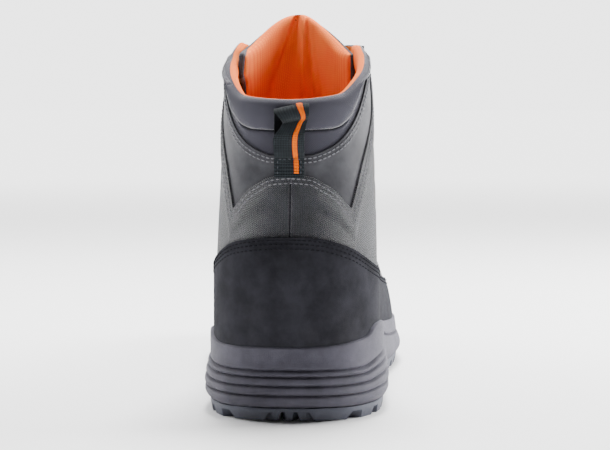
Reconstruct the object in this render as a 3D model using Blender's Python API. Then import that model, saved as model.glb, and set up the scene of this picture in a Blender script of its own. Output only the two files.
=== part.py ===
"""A right lace-up wading boot, standing empty on its sole.

Units are metres. Z is up, Y runs from the heel to the toe and X to the wearer's outer side.
The last is a surface over its own side view: for a place y, z inside the side outline it gives the half
width there. Every piece of the upper is a patch of that surface, moved out or in by its own thickness.
Places on it are named by a turn and a height: turn 0 is the middle of the heel, turns grow round the outer
side to 1 at the middle of the front and shrink round the inner side to -1, which is the same line.
"""

import math

import bmesh
import bpy
import numpy as np

# Clearances
GAP = 0.0003  # between two pieces that touch
SLACK = 0.0008  # between curved pieces whose facets don't line up
SEAM = 0.0008  # between the midsole and the outsole

# Lengths and widths of the sole and the last
SOLE_LENGTH = 0.312
TOE_CLEARANCE = 0.0065  # from the tip of the sole back to the tip of the upper
HEEL_CLEARANCE = 0.0065  # from the back of the sole to the heel of the upper at the feather line
BALL_WIDTH = 0.0938
WAIST_WIDTH = 0.0700
HEEL_WIDTH = 0.0735
TOE_WIDTH = 0.0870
ANKLE_WIDTH = 0.0712
COLLAR_WIDTH = 0.0665
HEEL_SWING = 0.0012  # how far the middle of the heel's sides lies towards the outer side
BALL_SWING = -0.0038  # and of the ball
TOE_SWING = -0.0105  # and of the toe

# Heights above the floor
COLLAR_BACK_HEIGHT = 0.1475
COLLAR_TIP_HEIGHT = 0.1720
THROAT_HEIGHT = 0.0790  # the bottom of the lacing opening
TONGUE_HEIGHT = 0.1860
ANKLE_HEIGHT = 0.1050
COUNTER_HEIGHT = 0.0845  # the rand's top behind the heel
RAND_HEIGHT = 0.0435  # and beside the ball
TOE_CAP_HEIGHT = 0.0545  # and over the toe

# Depths of the shaft and the roundings of the last
SHAFT_DEPTH = 0.1020  # from the back of the ankle to its front
HEEL_ROUNDING = 0.0430
HEEL_SWELL = 0.0020  # how far the heel stands out behind the feather line
ANKLE_HOLLOW = 0.0070  # and how far the shaft's back lies in front of it
COLLAR_LEAN = 0.0050
SHIN_ROUNDING = 0.0520
TOE_ROUNDING = 0.0560
INSTEP_BEND = 0.0650  # the radius of the front where foot turns into shaft

# Sole thicknesses
LUG_HEIGHT = 0.0038
OUTSOLE_THICKNESS = 0.0020
HEEL_BED = 0.0270  # the bed that the foot stands on, above the floor
WAIST_BED = 0.0235
BALL_BED = 0.0150
TOE_BED = 0.0140
HEEL_WALL = 0.0339  # the top edge of the sole
QUARTER_WALL = 0.0395
BALL_WALL = 0.0230
TOE_WALL = 0.0260
TOE_SPRING = 0.0140
HEEL_BEVEL = 0.0012
ARCH_LIFT = 0.0030
RIM_OUT = 0.0032  # how far the sole's top edge stands out from the upper
BELLY_OUT = 0.0064  # and its widest rib
FOOT_OUT = 0.0048  # and its lower edge
GROOVE_DEPTH = 0.0011
GROOVE_WIDTH = 0.0011

# Thicknesses of the upper's pieces
WALL = 0.0030
PANEL = 0.0012
CUFF_PAD = 0.0030
CUFF_BAND = 0.0010
TONGUE_THICKNESS = 0.0045
INSOLE_THICKNESS = 0.0040

# Widths of the upper's pieces
THROAT_WIDTH = 0.0260
THROAT_TOP_WIDTH = 0.0410
TONGUE_WIDTH = 0.0500
TONGUE_DROP = 0.0195  # from the tongue's top to its corners
TONGUE_UNDER = 0.0090  # how far the tongue reaches below the throat
EYESTAY_WIDTH = 0.0200
EYELET_INSET = 0.0085
EYELET_END = 0.0115  # from the throat's ends to the first and the last eyelet
EYELET_RADIUS = 0.0042
EYELET_WIRE = 0.0011
EYELET_PAIRS = 5
CUFF_END = 0.42  # the turn where the cuff tapers out
CUFF_SEAM_RISE = 0.0135  # from the cuff's lower edge to the seam under its roll
LACE_WIDTH = 0.0042
EYELET_RISE = PANEL + 3 * GAP  # of an eyelet's lower side above the upper
LACE_RISE = EYELET_RISE + 2 * EYELET_WIRE + SLACK + LACE_WIDTH / 2

# The pull loop, a folded strap of webbing
LOOP_WIDTH = 0.0135
LOOP_FOOT_HEIGHT = 0.1100
LOOP_TOP_HEIGHT = 0.1445
LOOP_REACH = 0.0107  # from the ankle wrap to the outside of the loop
LOOP_STRAP = 0.0013

# The tread
LUG_PITCH = 0.0140
LUG_GAP = 0.0048
LUG_DRAFT = 0.0008  # how much narrower a lug is at its tip, on each side
OUTSOLE_INSET = 0.0006  # from the midsole's lower edge to the outsole's
OUTSOLE_END = 0.0016

# Mesh resolution
TURNS = 48  # columns round the boot
SIDE_TURNS = 14  # columns on each side, from the heel, that stay where they are at every height
EYESTAY_TURNS = 3  # columns of the eyestay, which follow the throat's edge


def smooth_curve(rows):
    """A smooth function through rows of (place, value) that never swings past them."""
    x, y = np.array(rows, float).T
    step = np.diff(x)
    rise = np.diff(y) / step
    slope = np.zeros(len(x))
    for i in range(1, len(x) - 1):
        if rise[i - 1] * rise[i] > 0:
            before = 2 * step[i] + step[i - 1]
            after = step[i] + 2 * step[i - 1]
            slope[i] = (before + after) / (before / rise[i - 1] + after / rise[i])
    slope[0], slope[-1] = rise[0], rise[-1]

    def value(at):
        at = np.clip(np.asarray(at, float), x[0], x[-1])
        i = np.clip(np.searchsorted(x, at, side="right") - 1, 0, len(step) - 1)
        t = (at - x[i]) / step[i]
        return (
            y[i] * (1 + 2 * t) * (1 - t) ** 2
            + y[i + 1] * t * t * (3 - 2 * t)
            + step[i] * (slope[i] * t * (1 - t) ** 2 + slope[i + 1] * t * t * (t - 1))
        )

    return value


# The floor side of the sole: (share of the sole's length, height)
LIFT = smooth_curve([
    (0.000, HEEL_BEVEL), (0.050, 0.0), (0.290, 0.0), (0.400, ARCH_LIFT), (0.510, 0.0),
    (0.730, 0.0), (0.860, TOE_SPRING * 0.30), (1.000, TOE_SPRING),
])
# The bed inside the sole, above the floor side
BED = smooth_curve([
    (0.000, HEEL_BED), (0.250, HEEL_BED), (0.400, WAIST_BED - ARCH_LIFT), (0.640, BALL_BED), (1.000, TOE_BED),
])
# The sole's top edge, above the floor side
WALL_TOP = smooth_curve([
    (0.000, HEEL_WALL), (0.060, HEEL_WALL), (0.190, QUARTER_WALL), (0.300, QUARTER_WALL),
    (0.440, 0.5 * (QUARTER_WALL + BALL_WALL)), (0.640, BALL_WALL), (0.900, BALL_WALL), (1.000, TOE_WALL),
])
# Half widths of the foot: (share of the sole's length, half width)
FOOT_HALF = smooth_curve([
    (0.000, HEEL_WIDTH / 2), (0.150, HEEL_WIDTH / 2), (0.370, WAIST_WIDTH / 2), (0.655, BALL_WIDTH / 2),
    (0.820, TOE_WIDTH / 2), (1.000, TOE_WIDTH / 2),
])
# The middle of the foot: (share of the sole's length, x)
MIDDLE = smooth_curve([
    (0.000, 0.0), (0.150, HEEL_SWING), (0.300, 0.7 * HEEL_SWING), (0.655, BALL_SWING), (1.000, TOE_SWING),
])
# Half widths of the shaft: (height, half width)
SHAFT_HALF = smooth_curve([
    (0.48 * ANKLE_HEIGHT, HEEL_WIDTH / 2), (ANKLE_HEIGHT, ANKLE_WIDTH / 2),
    (COLLAR_BACK_HEIGHT, COLLAR_WIDTH / 2), (COLLAR_TIP_HEIGHT, 0.935 * COLLAR_WIDTH / 2),
    (1.06 * TONGUE_HEIGHT, 0.88 * COLLAR_WIDTH / 2),
])
# The back of the heel in the side view: (height, y beyond the heel's clearance)
HEEL_BACK = smooth_curve([
    (0.19 * ANKLE_HEIGHT, 0.0), (0.43 * ANKLE_HEIGHT, -HEEL_SWELL), (0.59 * ANKLE_HEIGHT, -0.9 * HEEL_SWELL),
    (0.81 * ANKLE_HEIGHT, 0.3 * ANKLE_HOLLOW), (1.11 * ANKLE_HEIGHT, ANKLE_HOLLOW),
    (0.90 * COLLAR_BACK_HEIGHT, 0.97 * ANKLE_HOLLOW), (COLLAR_BACK_HEIGHT, COLLAR_LEAN),
    (1.06 * TONGUE_HEIGHT, COLLAR_LEAN),
])
# The front in the side view, from the tip of the toe up to the top of the shaft, as (share of the way
# from the ankle's front to the toe's tip, share of the rise from the toe's tip to the throat)
TOE_TIP_Y = SOLE_LENGTH - TOE_CLEARANCE
TOE_TIP_Z = TOE_BED + TOE_SPRING
ANKLE_FRONT = HEEL_CLEARANCE + SHAFT_DEPTH
FOOT_FRONT = (
    (1.000, -0.390), (0.9985, 0.020), (0.989, 0.216), (0.951, 0.392), (0.884, 0.520), (0.783, 0.637),
    (0.643, 0.784), (0.465, 1.000),
)
# and from there as (the same share, share of the rise from the throat to the tongue's top)
SHAFT_FRONT = (
    (0.294, 0.146), (0.131, 0.351), (0.051, 0.546), (0.015, 0.741), (0.020, 0.922), (0.030, 1.100),
)
FRONT = [(TOE_TIP_Z + (THROAT_HEIGHT - TOE_TIP_Z) * rise, forward) for forward, rise in FOOT_FRONT]
FRONT += [(THROAT_HEIGHT + (TONGUE_HEIGHT - THROAT_HEIGHT) * rise, forward) for forward, rise in SHAFT_FRONT]
FRONT_SAMPLES = 400
FRONT_Z = np.linspace(FRONT[0][0], FRONT[-1][0], FRONT_SAMPLES)
FRONT_Y = ANKLE_FRONT + (TOE_TIP_Y - ANKLE_FRONT) * smooth_curve(FRONT)(FRONT_Z)
# The centre that the instep's sections fan about
FAN_Y = ANKLE_FRONT + INSTEP_BEND
FAN_Z = THROAT_HEIGHT + 0.88 * (TONGUE_HEIGHT - THROAT_HEIGHT)
FAN_ZONE = (FRONT_Y < FAN_Y) & (FRONT_Z < FAN_Z)
FAN_ANGLES = np.arctan2(FAN_Y - FRONT_Y, FAN_Z - FRONT_Z)[FAN_ZONE]
FAN_RADII = np.hypot(FAN_Y - FRONT_Y, FAN_Z - FRONT_Z)[FAN_ZONE]

# Fullness of the last's roundings: 2 is an ellipse, more is squarer
HEEL_FULLNESS = 2.25
INSTEP_FULLNESS = 2.15
TOE_FULLNESS = 2.3


def share(y):
    return np.asarray(y, float) / SOLE_LENGTH


def floor_side(y):
    return LIFT(share(y))


def bed(y):
    """The height of the bed that the upper stands on: the feather line."""
    return LIFT(share(y)) + BED(share(y))


def wall_top(y):
    return LIFT(share(y)) + WALL_TOP(share(y))


def back_y(z):
    return HEEL_CLEARANCE + HEEL_BACK(z)


def front_y(z):
    return np.interp(z, FRONT_Z, FRONT_Y)


def ridge_z(y):
    return np.interp(y, FRONT_Y[::-1], FRONT_Z[::-1])


def rounding(distance, radius, fullness):
    """A width's share at a distance in from the outline: 0 on it, 1 from the radius inwards."""
    inside = np.clip(distance / np.maximum(radius, 1e-6), 0, 1)
    return (1 - (1 - inside) ** fullness) ** (1 / fullness)


def ease(t):
    t = np.clip(t, 0, 1)
    return t * t * (3 - 2 * t)


def ridge_rounding(y, z):
    """The closing of the sections towards the front line: upright in the foot, level in the shaft, and
    in the instep along rays from the fan's centre."""
    foot_depth = np.maximum(ridge_z(y) - bed(y), 0.002)
    foot = rounding(ridge_z(y) - z, foot_depth, INSTEP_FULLNESS)
    shaft = rounding(front_y(z) - y, SHIN_ROUNDING, INSTEP_FULLNESS)
    angle = np.arctan2(np.maximum(FAN_Y - y, 0), np.maximum(FAN_Z - z, 0))
    distance = np.hypot(FAN_Y - y, FAN_Z - z) - np.interp(angle, FAN_ANGLES, FAN_RADII)
    turned = ease(angle / (math.pi / 2))
    depth = (ridge_z(FAN_Y) - bed(FAN_Y)) * (1 - turned) + SHIN_ROUNDING * turned
    fan = rounding(distance, depth, INSTEP_FULLNESS)
    return np.where(y >= FAN_Y, foot, np.where(z >= FAN_Z, shaft, fan))


def half_width(y, z):
    """The half width of the last at a place in its side view."""
    heel = rounding(y - back_y(z), HEEL_ROUNDING, HEEL_FULLNESS)
    toe_start = TOE_TIP_Y - TOE_ROUNDING
    toe = (1 - np.clip((y - toe_start) / TOE_ROUNDING, 0, 1) ** TOE_FULLNESS) ** (1 / TOE_FULLNESS)
    risen = ease((z / ANKLE_HEIGHT - 0.43) / 0.57) * ease((FAN_Y - y) / INSTEP_BEND / 1.23 + 0.125)
    side = FOOT_HALF(share(y)) * (1 - risen) + SHAFT_HALF(z) * risen
    return side * heel * toe * ridge_rounding(y, z)


def last_point(turn, z):
    """The point of the last at a turn and a height, for arrays of both."""
    turn, z = np.broadcast_arrays(np.asarray(turn, float), np.asarray(z, float))
    turn = (turn + 1) % 2 - 1
    along = (1 - np.cos(math.pi * np.abs(turn))) / 2
    y = back_y(z) + (front_y(z) - back_y(z)) * along
    x = MIDDLE(share(y)) + np.sign(turn) * half_width(y, z)
    return np.stack([x, y, z], axis=-1)


def form(turn, z, out=0.0):
    """A point of the last moved out along its surface's normal."""
    turn_step, z_step = 0.004, 0.0006
    across = last_point(np.add(turn, turn_step), z) - last_point(np.subtract(turn, turn_step), z)
    up = last_point(turn, np.add(z, z_step)) - last_point(turn, np.subtract(z, z_step))
    normal = np.cross(across, up)
    normal /= np.linalg.norm(normal, axis=-1, keepdims=True)
    return last_point(turn, z) + normal * np.asarray(out, float)[..., None]


def place_of(turn, height_at):
    """The y and the height of a line round the last that is given as a height for each y."""
    z = np.full(np.shape(turn), HEEL_BED)
    for _ in range(12):
        y = last_point(turn, z)[..., 1]
        z = 0.5 * (z + height_at(y))
    return y, height_at(y)


def feather(turn, out=0.0):
    """The feather line's plan, moved out level."""
    step = 0.004
    _, z = place_of(turn, bed)
    _, z_after = place_of(np.add(turn, step), bed)
    _, z_before = place_of(np.subtract(turn, step), bed)
    along = last_point(np.add(turn, step), z_after) - last_point(np.subtract(turn, step), z_before)
    normal = np.stack([along[..., 1], -along[..., 0], np.zeros(np.shape(turn))], axis=-1)
    normal /= np.linalg.norm(normal, axis=-1, keepdims=True)
    return last_point(turn, z) + normal * np.asarray(out, float)[..., None]


# Lines on the upper, over a turn counted from the heel on either side.
# The collar's rim: (turn, share of the rise from its back to its tips)
COLLAR_RISE = smooth_curve([
    (0.00, 0.0), (0.18, 0.04), (0.30, 0.29), (0.45, 0.63), (0.62, 0.95), (0.80, 1.0), (1.00, 1.0),
])
# The lower edges of the cuff and of the ankle wrap: (turn, share of the collar's height at the back)
CUFF_EDGE = smooth_curve([
    (0.00, 0.809), (0.12, 0.822), (0.20, 0.862), (0.27, 0.920), (0.32, 0.980), (0.38, 1.032), (0.42, 1.050),
])
WRAP_EDGE = smooth_curve([
    (0.00, 0.745), (0.10, 0.728), (0.18, 0.680), (0.25, 0.648), (0.33, 0.735), (0.42, 0.838), (0.54, 0.924),
])
# The top of the rubbered rand: (share of the sole's length, height)
RAND_TOP = smooth_curve([
    (0.000, COUNTER_HEIGHT), (0.020, 0.993 * COUNTER_HEIGHT), (0.050, 0.940 * COUNTER_HEIGHT),
    (0.100, 0.860 * COUNTER_HEIGHT), (0.200, 0.765 * COUNTER_HEIGHT), (0.340, 1.42 * RAND_HEIGHT),
    (0.430, 1.25 * RAND_HEIGHT), (0.560, 1.04 * RAND_HEIGHT), (0.700, RAND_HEIGHT),
    (0.840, 0.950 * TOE_CAP_HEIGHT), (1.000, TOE_CAP_HEIGHT),
])
# Half the lacing opening's width: (share of its height, half width)
THROAT = smooth_curve([
    (0.0, 0.0), (0.013, 0.30 * THROAT_WIDTH), (0.065, 0.46 * THROAT_WIDTH), (0.32, 0.50 * THROAT_WIDTH),
    (0.785, 0.40 * THROAT_TOP_WIDTH), (1.0, 0.50 * THROAT_TOP_WIDTH),
])


def rim(turn):
    return COLLAR_BACK_HEIGHT + (COLLAR_TIP_HEIGHT - COLLAR_BACK_HEIGHT) * COLLAR_RISE(np.abs(turn))


def cuff_edge(turn):
    return COLLAR_BACK_HEIGHT * CUFF_EDGE(np.abs(turn))


def wrap_edge(turn):
    return COLLAR_BACK_HEIGHT * WRAP_EDGE(np.abs(turn))


def rand_top(y):
    return RAND_TOP(share(y))


def throat_half(z):
    """Half the lacing opening's width at a height."""
    return THROAT((np.asarray(z) - THROAT_HEIGHT) / (COLLAR_TIP_HEIGHT - THROAT_HEIGHT))


def turn_at_width(z, width):
    """The turn, in the front half, where the last is that wide at a height."""
    turns = np.linspace(1, 0.5, 240)
    found = []
    for one_z, one_width in zip(np.ravel(z), np.ravel(width)):
        x = last_point(turns, one_z)
        away = np.abs(x[:, 0] - MIDDLE(share(x[:, 1])))
        found.append(np.interp(one_width, np.maximum.accumulate(away), turns))
    return np.array(found).reshape(np.shape(z))


def turn_behind_throat(z, distance):
    """The turn that lies a distance behind the throat's edge along the last at a height."""
    start = float(turn_at_width(np.array([z]), throat_half(np.array([z])))[0])
    turns = np.linspace(start, SIDE_TURNS / (TURNS / 2), 160)
    points = last_point(turns, z)
    gone = np.concatenate([[0], np.cumsum(np.linalg.norm(np.diff(points, axis=0), axis=1))])
    return np.interp(np.minimum(distance, 0.8 * gone[-1]), gone, turns)


def material(name, colour, roughness, metallic=0.0):
    made = bpy.data.materials.new(name)
    made.use_nodes = True
    shader = made.node_tree.nodes["Principled BSDF"]
    shader.inputs["Base Color"].default_value = (*colour, 1)
    shader.inputs["Roughness"].default_value = roughness
    shader.inputs["Metallic"].default_value = metallic
    return made


def add_object(name, vertices, faces, finish, smooth=True):
    """Makes one closed piece, with the origin in the middle of the sole's box."""
    mesh = bpy.data.meshes.new(name)
    points = np.reshape(vertices, (-1, 3)) - ORIGIN
    mesh.from_pydata(points.tolist(), [], faces)
    work = bmesh.new()
    work.from_mesh(mesh)
    bmesh.ops.remove_doubles(work, verts=work.verts, dist=1e-6)
    bmesh.ops.dissolve_degenerate(work, edges=work.edges, dist=1e-7)
    bmesh.ops.recalc_face_normals(work, faces=work.faces)
    work.to_mesh(mesh)
    work.free()
    mesh.materials.append(finish)
    if smooth:
        mesh.shade_smooth()
        mesh.set_sharp_from_angle(angle=math.radians(40))
    piece = bpy.data.objects.new(name, mesh)
    bpy.context.scene.collection.objects.link(piece)
    return piece


def shell_faces(rows, columns, ring=False, open_from=0):
    """Faces of a sheet with two sides, whose points are an outer and an inner grid of rows by columns.
    A ring's columns close on themselves. Rows before open_from are closed where the columns end."""
    inner = rows * columns
    faces = []

    def at(row, column, side=0):
        return side * inner + row * columns + column % columns

    last = columns if ring else columns - 1
    for row in range(rows - 1):
        for column in range(last):
            faces.append((at(row, column), at(row, column + 1), at(row + 1, column + 1), at(row + 1, column)))
            faces.append((
                at(row, column, 1), at(row + 1, column, 1), at(row + 1, column + 1, 1), at(row, column + 1, 1),
            ))
    for column in range(last):
        faces.append((at(0, column), at(0, column, 1), at(0, column + 1, 1), at(0, column + 1)))
        top = rows - 1
        faces.append((at(top, column), at(top, column + 1), at(top, column + 1, 1), at(top, column, 1)))
    if not ring:
        for row in range(open_from, rows - 1):
            for column in (0, columns - 1):
                faces.append((
                    at(row, column), at(row + 1, column), at(row + 1, column, 1), at(row, column, 1),
                ))
    return faces


def panel(name, turns, heights, inside, outside, finish, ring=False, open_from=0):
    """A patch of the last between two distances from it. Turns and heights are grids of one shape."""
    outer = form(turns, heights, outside)
    inner = form(turns, heights, inside)
    rows, columns = np.shape(heights)
    points = np.concatenate([outer.reshape(-1, 3), inner.reshape(-1, 3)])
    return add_object(name, points, shell_faces(rows, columns, ring, open_from), finish)


# Rows of the upper: shares of the height from its lower edge to the bottom of the throat, then from there
# to the rim. Every panel on the upper has its rows at the same heights, so that their facets lie parallel.
CLOSED_ROWS = (0.0, 0.13, 0.28, 0.42, 0.53, 0.62, 0.72, 0.85, 1.0)
OPEN_ROWS = (0.03, 0.12, 0.26, 0.42, 0.58, 0.74, 0.88, 1.0)


def upper_turns(z):
    """The columns of the upper at one height: fixed ones at the sides, then some up to the throat's edge."""
    side = np.arange(-SIDE_TURNS, SIDE_TURNS + 1) / (TURNS / 2)
    if z > THROAT_HEIGHT:
        stay = turn_behind_throat(z, EYESTAY_WIDTH * np.arange(EYESTAY_TURNS, -1, -1) / EYESTAY_TURNS)
        between = TURNS // 2 - SIDE_TURNS - EYESTAY_TURNS
        front = np.concatenate([np.linspace(side[-1], stay[0], between + 1)[1:], stay[1:]])
    else:
        front = np.linspace(side[-1], 1.0, TURNS // 2 - SIDE_TURNS + 1)[1:]
    return np.concatenate([-front[::-1], side, front])


def upper_grid():
    """The turn and the height of every point of the upper, as rows by columns."""
    first = upper_turns(0.0)
    low = place_of(first, bed)[1] + GAP
    turns, heights = [], []
    for row in CLOSED_ROWS:
        turns.append(first)
        heights.append(low + (THROAT_HEIGHT - low) * row)
    for row in OPEN_ROWS:
        columns = upper_turns(THROAT_HEIGHT + (COLLAR_TIP_HEIGHT - THROAT_HEIGHT) * row)
        turns.append(columns)
        heights.append(THROAT_HEIGHT + (rim(columns) - THROAT_HEIGHT) * row)
    return np.array(turns), np.array(heights)


def between_lines(columns, low, high):
    """Part of the upper's grid between two lines, with the rows that lie beyond them drawn in to them."""
    turns, heights = upper_grid()
    return turns[:, columns], np.clip(heights[:, columns], low, high)


def ladder_faces(ring):
    """Faces across a closed line of points, which starts and ends at the toe, as rungs from side to side."""
    count = len(ring)
    faces = []
    for i in range(count // 2):
        a, b = ring[i], ring[i + 1]
        c, d = ring[(count - i - 1) % count], ring[(count - i) % count]
        faces.append(tuple(dict.fromkeys((a, b, c, d))))
    return faces


def ring_turns():
    return -1 + 2 * np.arange(TURNS) / TURNS


# Where the sole's side swells, as (share of its height, share of the way from its foot to its belly)
SIDE_PROFILE = smooth_curve([
    (0.00, FOOT_OUT), (0.12, BELLY_OUT * 0.97), (0.22, BELLY_OUT), (0.40, BELLY_OUT * 0.90),
    (0.60, 0.6 * RIM_OUT + 0.4 * BELLY_OUT), (1.00, RIM_OUT),
])
GROOVES = (0.197, 0.352, 0.497, 0.603)  # shares of the sole's side height
GROOVE_END = 0.34  # share of the sole's length where the ribs fade out


def sole_side(turn, level):
    """A point of the sole's side at a turn, for a share of its height."""
    plan = feather(turn)
    y = plan[..., 1]
    low = floor_side(y) + LUG_HEIGHT + OUTSOLE_THICKNESS + SEAM
    height = low + (wall_top(y) - low) * level
    fade = ease((GROOVE_END - share(y)) / 0.06)
    notch = np.zeros(np.shape(y))
    for groove in GROOVES:
        span = (wall_top(y) - low) * abs(level - groove)
        notch = np.maximum(notch, np.clip(1 - span / GROOVE_WIDTH, 0, 1))
    out = SIDE_PROFILE(level) - GROOVE_DEPTH * notch * fade
    _, at_height = place_of(turn, bed)
    upper = last_point(turn, np.maximum(height, at_height))
    drift = np.linalg.norm((upper - plan)[..., :2], axis=-1)
    sign = np.sign(np.sum((upper - plan)[..., :2] * (feather(turn, 1.0) - plan)[..., :2], axis=-1))
    point = feather(turn, out + np.maximum(drift * sign, 0))
    point[..., 2] = height
    return point


def make_midsole(finish):
    """The cupped midsole: a ribbed side, a rim that hugs the upper, and the bed inside."""
    turns = ring_turns()
    levels = [0.0, 0.09]
    for groove in GROOVES:
        levels += [groove - 0.032, groove, groove + 0.032]
    levels += [0.72, 0.88, 1.0]
    rings = [sole_side(turns, level) for level in levels]
    y, bed_z = place_of(turns, bed)
    top = rings[-1][..., 2]
    rings.append(form(turns, top, SLACK))
    rings.append(form(turns, 0.5 * (top + bed_z), SLACK))
    rings.append(form(turns, bed_z, SLACK))
    points = np.concatenate(rings)
    faces = []
    for row in range(len(rings) - 1):
        for i in range(TURNS):
            j = (i + 1) % TURNS
            low, high = row * TURNS, (row + 1) * TURNS
            faces.append((low + i, low + j, high + j, high + i))
    last_ring = (len(rings) - 1) * TURNS
    faces += ladder_faces([last_ring + i for i in range(TURNS)])
    faces += ladder_faces(list(range(TURNS)))
    return add_object("midsole", points, faces, finish)


# The sides of the lugs across the sole: shares of its half width
LUG_COLUMNS = (-1.0, -0.72, -0.60, -0.28, -0.16, 0.16, 0.28, 0.60, 0.72, 1.0)


def make_outsole(finish):
    """The rubber sheet under the midsole, with its lugs drawn down out of its lower side."""
    dense = np.linspace(-1, 1, 720)
    edge = feather(dense, FOOT_OUT - OUTSOLE_INSET)
    outer_side, inner_side = edge[dense >= 0], edge[dense <= 0][::-1]
    start = edge[:, 1].min() + OUTSOLE_END
    end = edge[:, 1].max() - OUTSOLE_END
    strips = int((end - start + LUG_GAP) / LUG_PITCH)
    pitch = (end - start + LUG_GAP) / strips
    lines = []
    for strip in range(strips):
        lines += [start + strip * pitch, start + (strip + 1) * pitch - LUG_GAP]
    lines = np.array(lines)
    x_outer = np.interp(lines, outer_side[:, 1], outer_side[:, 0])
    x_inner = np.interp(lines, inner_side[:, 1], inner_side[:, 0])
    low = floor_side(lines) + LUG_HEIGHT
    columns = np.array(LUG_COLUMNS)
    count = len(columns)
    below, above = [], []
    # The upper side keeps to the rungs of the midsole's lower side
    rungs = sole_side(np.linspace(0, 1, TURNS // 2 + 1), 0.0)
    high = np.interp(lines, rungs[:, 1], rungs[:, 2]) - SEAM
    for y, outer_x, inner_x, z, top_z in zip(lines, x_outer, x_inner, low, high):
        middle, half = (outer_x + inner_x) / 2, (outer_x - inner_x) / 2
        below += [(middle + half * c, y, z) for c in columns]
        above += [(inner_x, y, top_z), (outer_x, y, top_z)]
    faces, lugs = [], []
    for row in range(len(lines) - 1):
        for column in range(count - 1):
            corner = row * count + column
            if row % 2 == 0 and column % 2 == 0:
                lugs.append(len(faces))
            faces.append((corner, corner + count, corner + count + 1, corner + 1))
    top = len(below)
    rows = len(lines)
    for row in range(rows - 1):
        inner, outer = top + 2 * row, top + 2 * row + 1
        faces.append((inner, outer, outer + 2, inner + 2))
        faces.append((row * count, inner, inner + 2, (row + 1) * count))
        faces.append((row * count + count - 1, (row + 1) * count + count - 1, outer + 2, outer))
    for row in (0, rows - 1):
        faces.append(tuple(range(row * count, row * count + count)) + (top + 2 * row + 1, top + 2 * row))
    piece = add_object("outsole", below + above, faces, finish, smooth=False)
    work = bmesh.new()
    work.from_mesh(piece.data)
    work.faces.ensure_lookup_table()
    bmesh.ops.inset_individual(
        work, faces=[work.faces[i] for i in lugs], thickness=LUG_DRAFT, depth=LUG_HEIGHT, use_even_offset=True,
    )
    work.to_mesh(piece.data)
    work.free()
    return piece


def make_insole(finish):
    """The footbed, a loose sheet on the sole's bed inside the upper."""
    turns = ring_turns()
    y, bed_z = place_of(turns, bed)
    low = feather(turns, -(WALL + SLACK))
    low[..., 2] = bed(low[..., 1]) + GAP
    high = low + (0, 0, INSOLE_THICKNESS)
    points = np.concatenate([low, high])
    faces = []
    for i in range(TURNS):
        j = (i + 1) % TURNS
        faces.append((i, j, TURNS + j, TURNS + i))
    faces += ladder_faces(list(range(TURNS)))
    faces += ladder_faces(list(range(TURNS, 2 * TURNS)))
    return add_object("insole", points, faces, finish)


def make_upper(finish):
    """One hollow shell: closed over the toe, open at the throat and collar, and open underneath."""
    turns, heights = upper_grid()
    return panel("upper", turns, heights, -WALL, 0.0, finish, open_from=len(CLOSED_ROWS) - 1)


def make_rand(finish):
    """The rubbered rand: heel counter, side and toe cap in one, standing on the sole's rim."""
    turns, heights = upper_grid()
    turns = turns[:len(CLOSED_ROWS) + 2, :-1]
    heights = heights[:len(CLOSED_ROWS) + 2, :-1]
    turns = np.tile(turns[:1], (len(turns), 1))
    low = place_of(turns[0], wall_top)[1] + 2 * GAP
    high = place_of(turns[0], rand_top)[1]
    return panel("rand", turns, np.clip(heights, low, high), GAP, GAP + PANEL, finish, ring=True)


def side_columns(limit):
    """The places in the upper's rows of the columns round the heel."""
    middle = TURNS // 2
    return np.arange(middle - limit, middle + limit + 1)


def make_wrap(finish):
    """The smooth wrap round the ankle, from one eyestay round the heel to the other."""
    columns = side_columns(SIDE_TURNS - 1)
    turns = (columns - TURNS // 2) / (TURNS / 2)
    under_cuff = np.where(np.abs(turns) < CUFF_END, cuff_edge(turns) - 2 * GAP, np.inf)
    high = np.minimum(under_cuff, rim(turns) - GAP)
    turns, heights = between_lines(columns, wrap_edge(turns), high)
    return panel("ankle_wrap", turns, heights, GAP, GAP + PANEL, finish)


# The cuff's section: (share of its height below the seam or above it, thickness)
CUFF_SECTION = (
    ("below", 0.0, CUFF_BAND), ("below", 0.5, CUFF_BAND), ("below", 1.0, 0.6 * CUFF_BAND),
    ("above", 0.12, 0.6 * CUFF_PAD), ("above", 0.5, CUFF_PAD), ("above", 1.0, CUFF_BAND),
)


def make_cuff(finish):
    """The padded cuff at the back of the collar, a roll over a flat band."""
    columns = side_columns(int(CUFF_END * TURNS / 2))
    turns = (columns - TURNS // 2) / (TURNS / 2)
    low, high = cuff_edge(turns), rim(turns)
    seam = low + CUFF_SEAM_RISE * (1 - 0.8 * ease((np.abs(turns) - 0.15) / 0.2))
    heights, outside = [], []
    for part, where, thickness in CUFF_SECTION:
        heights.append(low + (seam - low) * where if part == "below" else seam + (high - seam) * where)
        outside.append(np.full(len(turns), GAP + thickness))
    return panel("cuff", np.tile(turns, (len(heights), 1)), np.array(heights), GAP, np.array(outside), finish)


def make_eyestay(side, name, finish):
    """The facing beside the throat that carries the eyelets."""
    turns, heights = upper_grid()
    rows = slice(len(CLOSED_ROWS), None)
    last = turns.shape[1]
    columns = slice(last - EYESTAY_TURNS - 1, last) if side > 0 else slice(0, EYESTAY_TURNS + 1)
    return panel(name, turns[rows, columns], heights[rows, columns], GAP, GAP + PANEL, finish)


TONGUE_ROWS = 11
TONGUE_COLUMNS = 13


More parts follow.
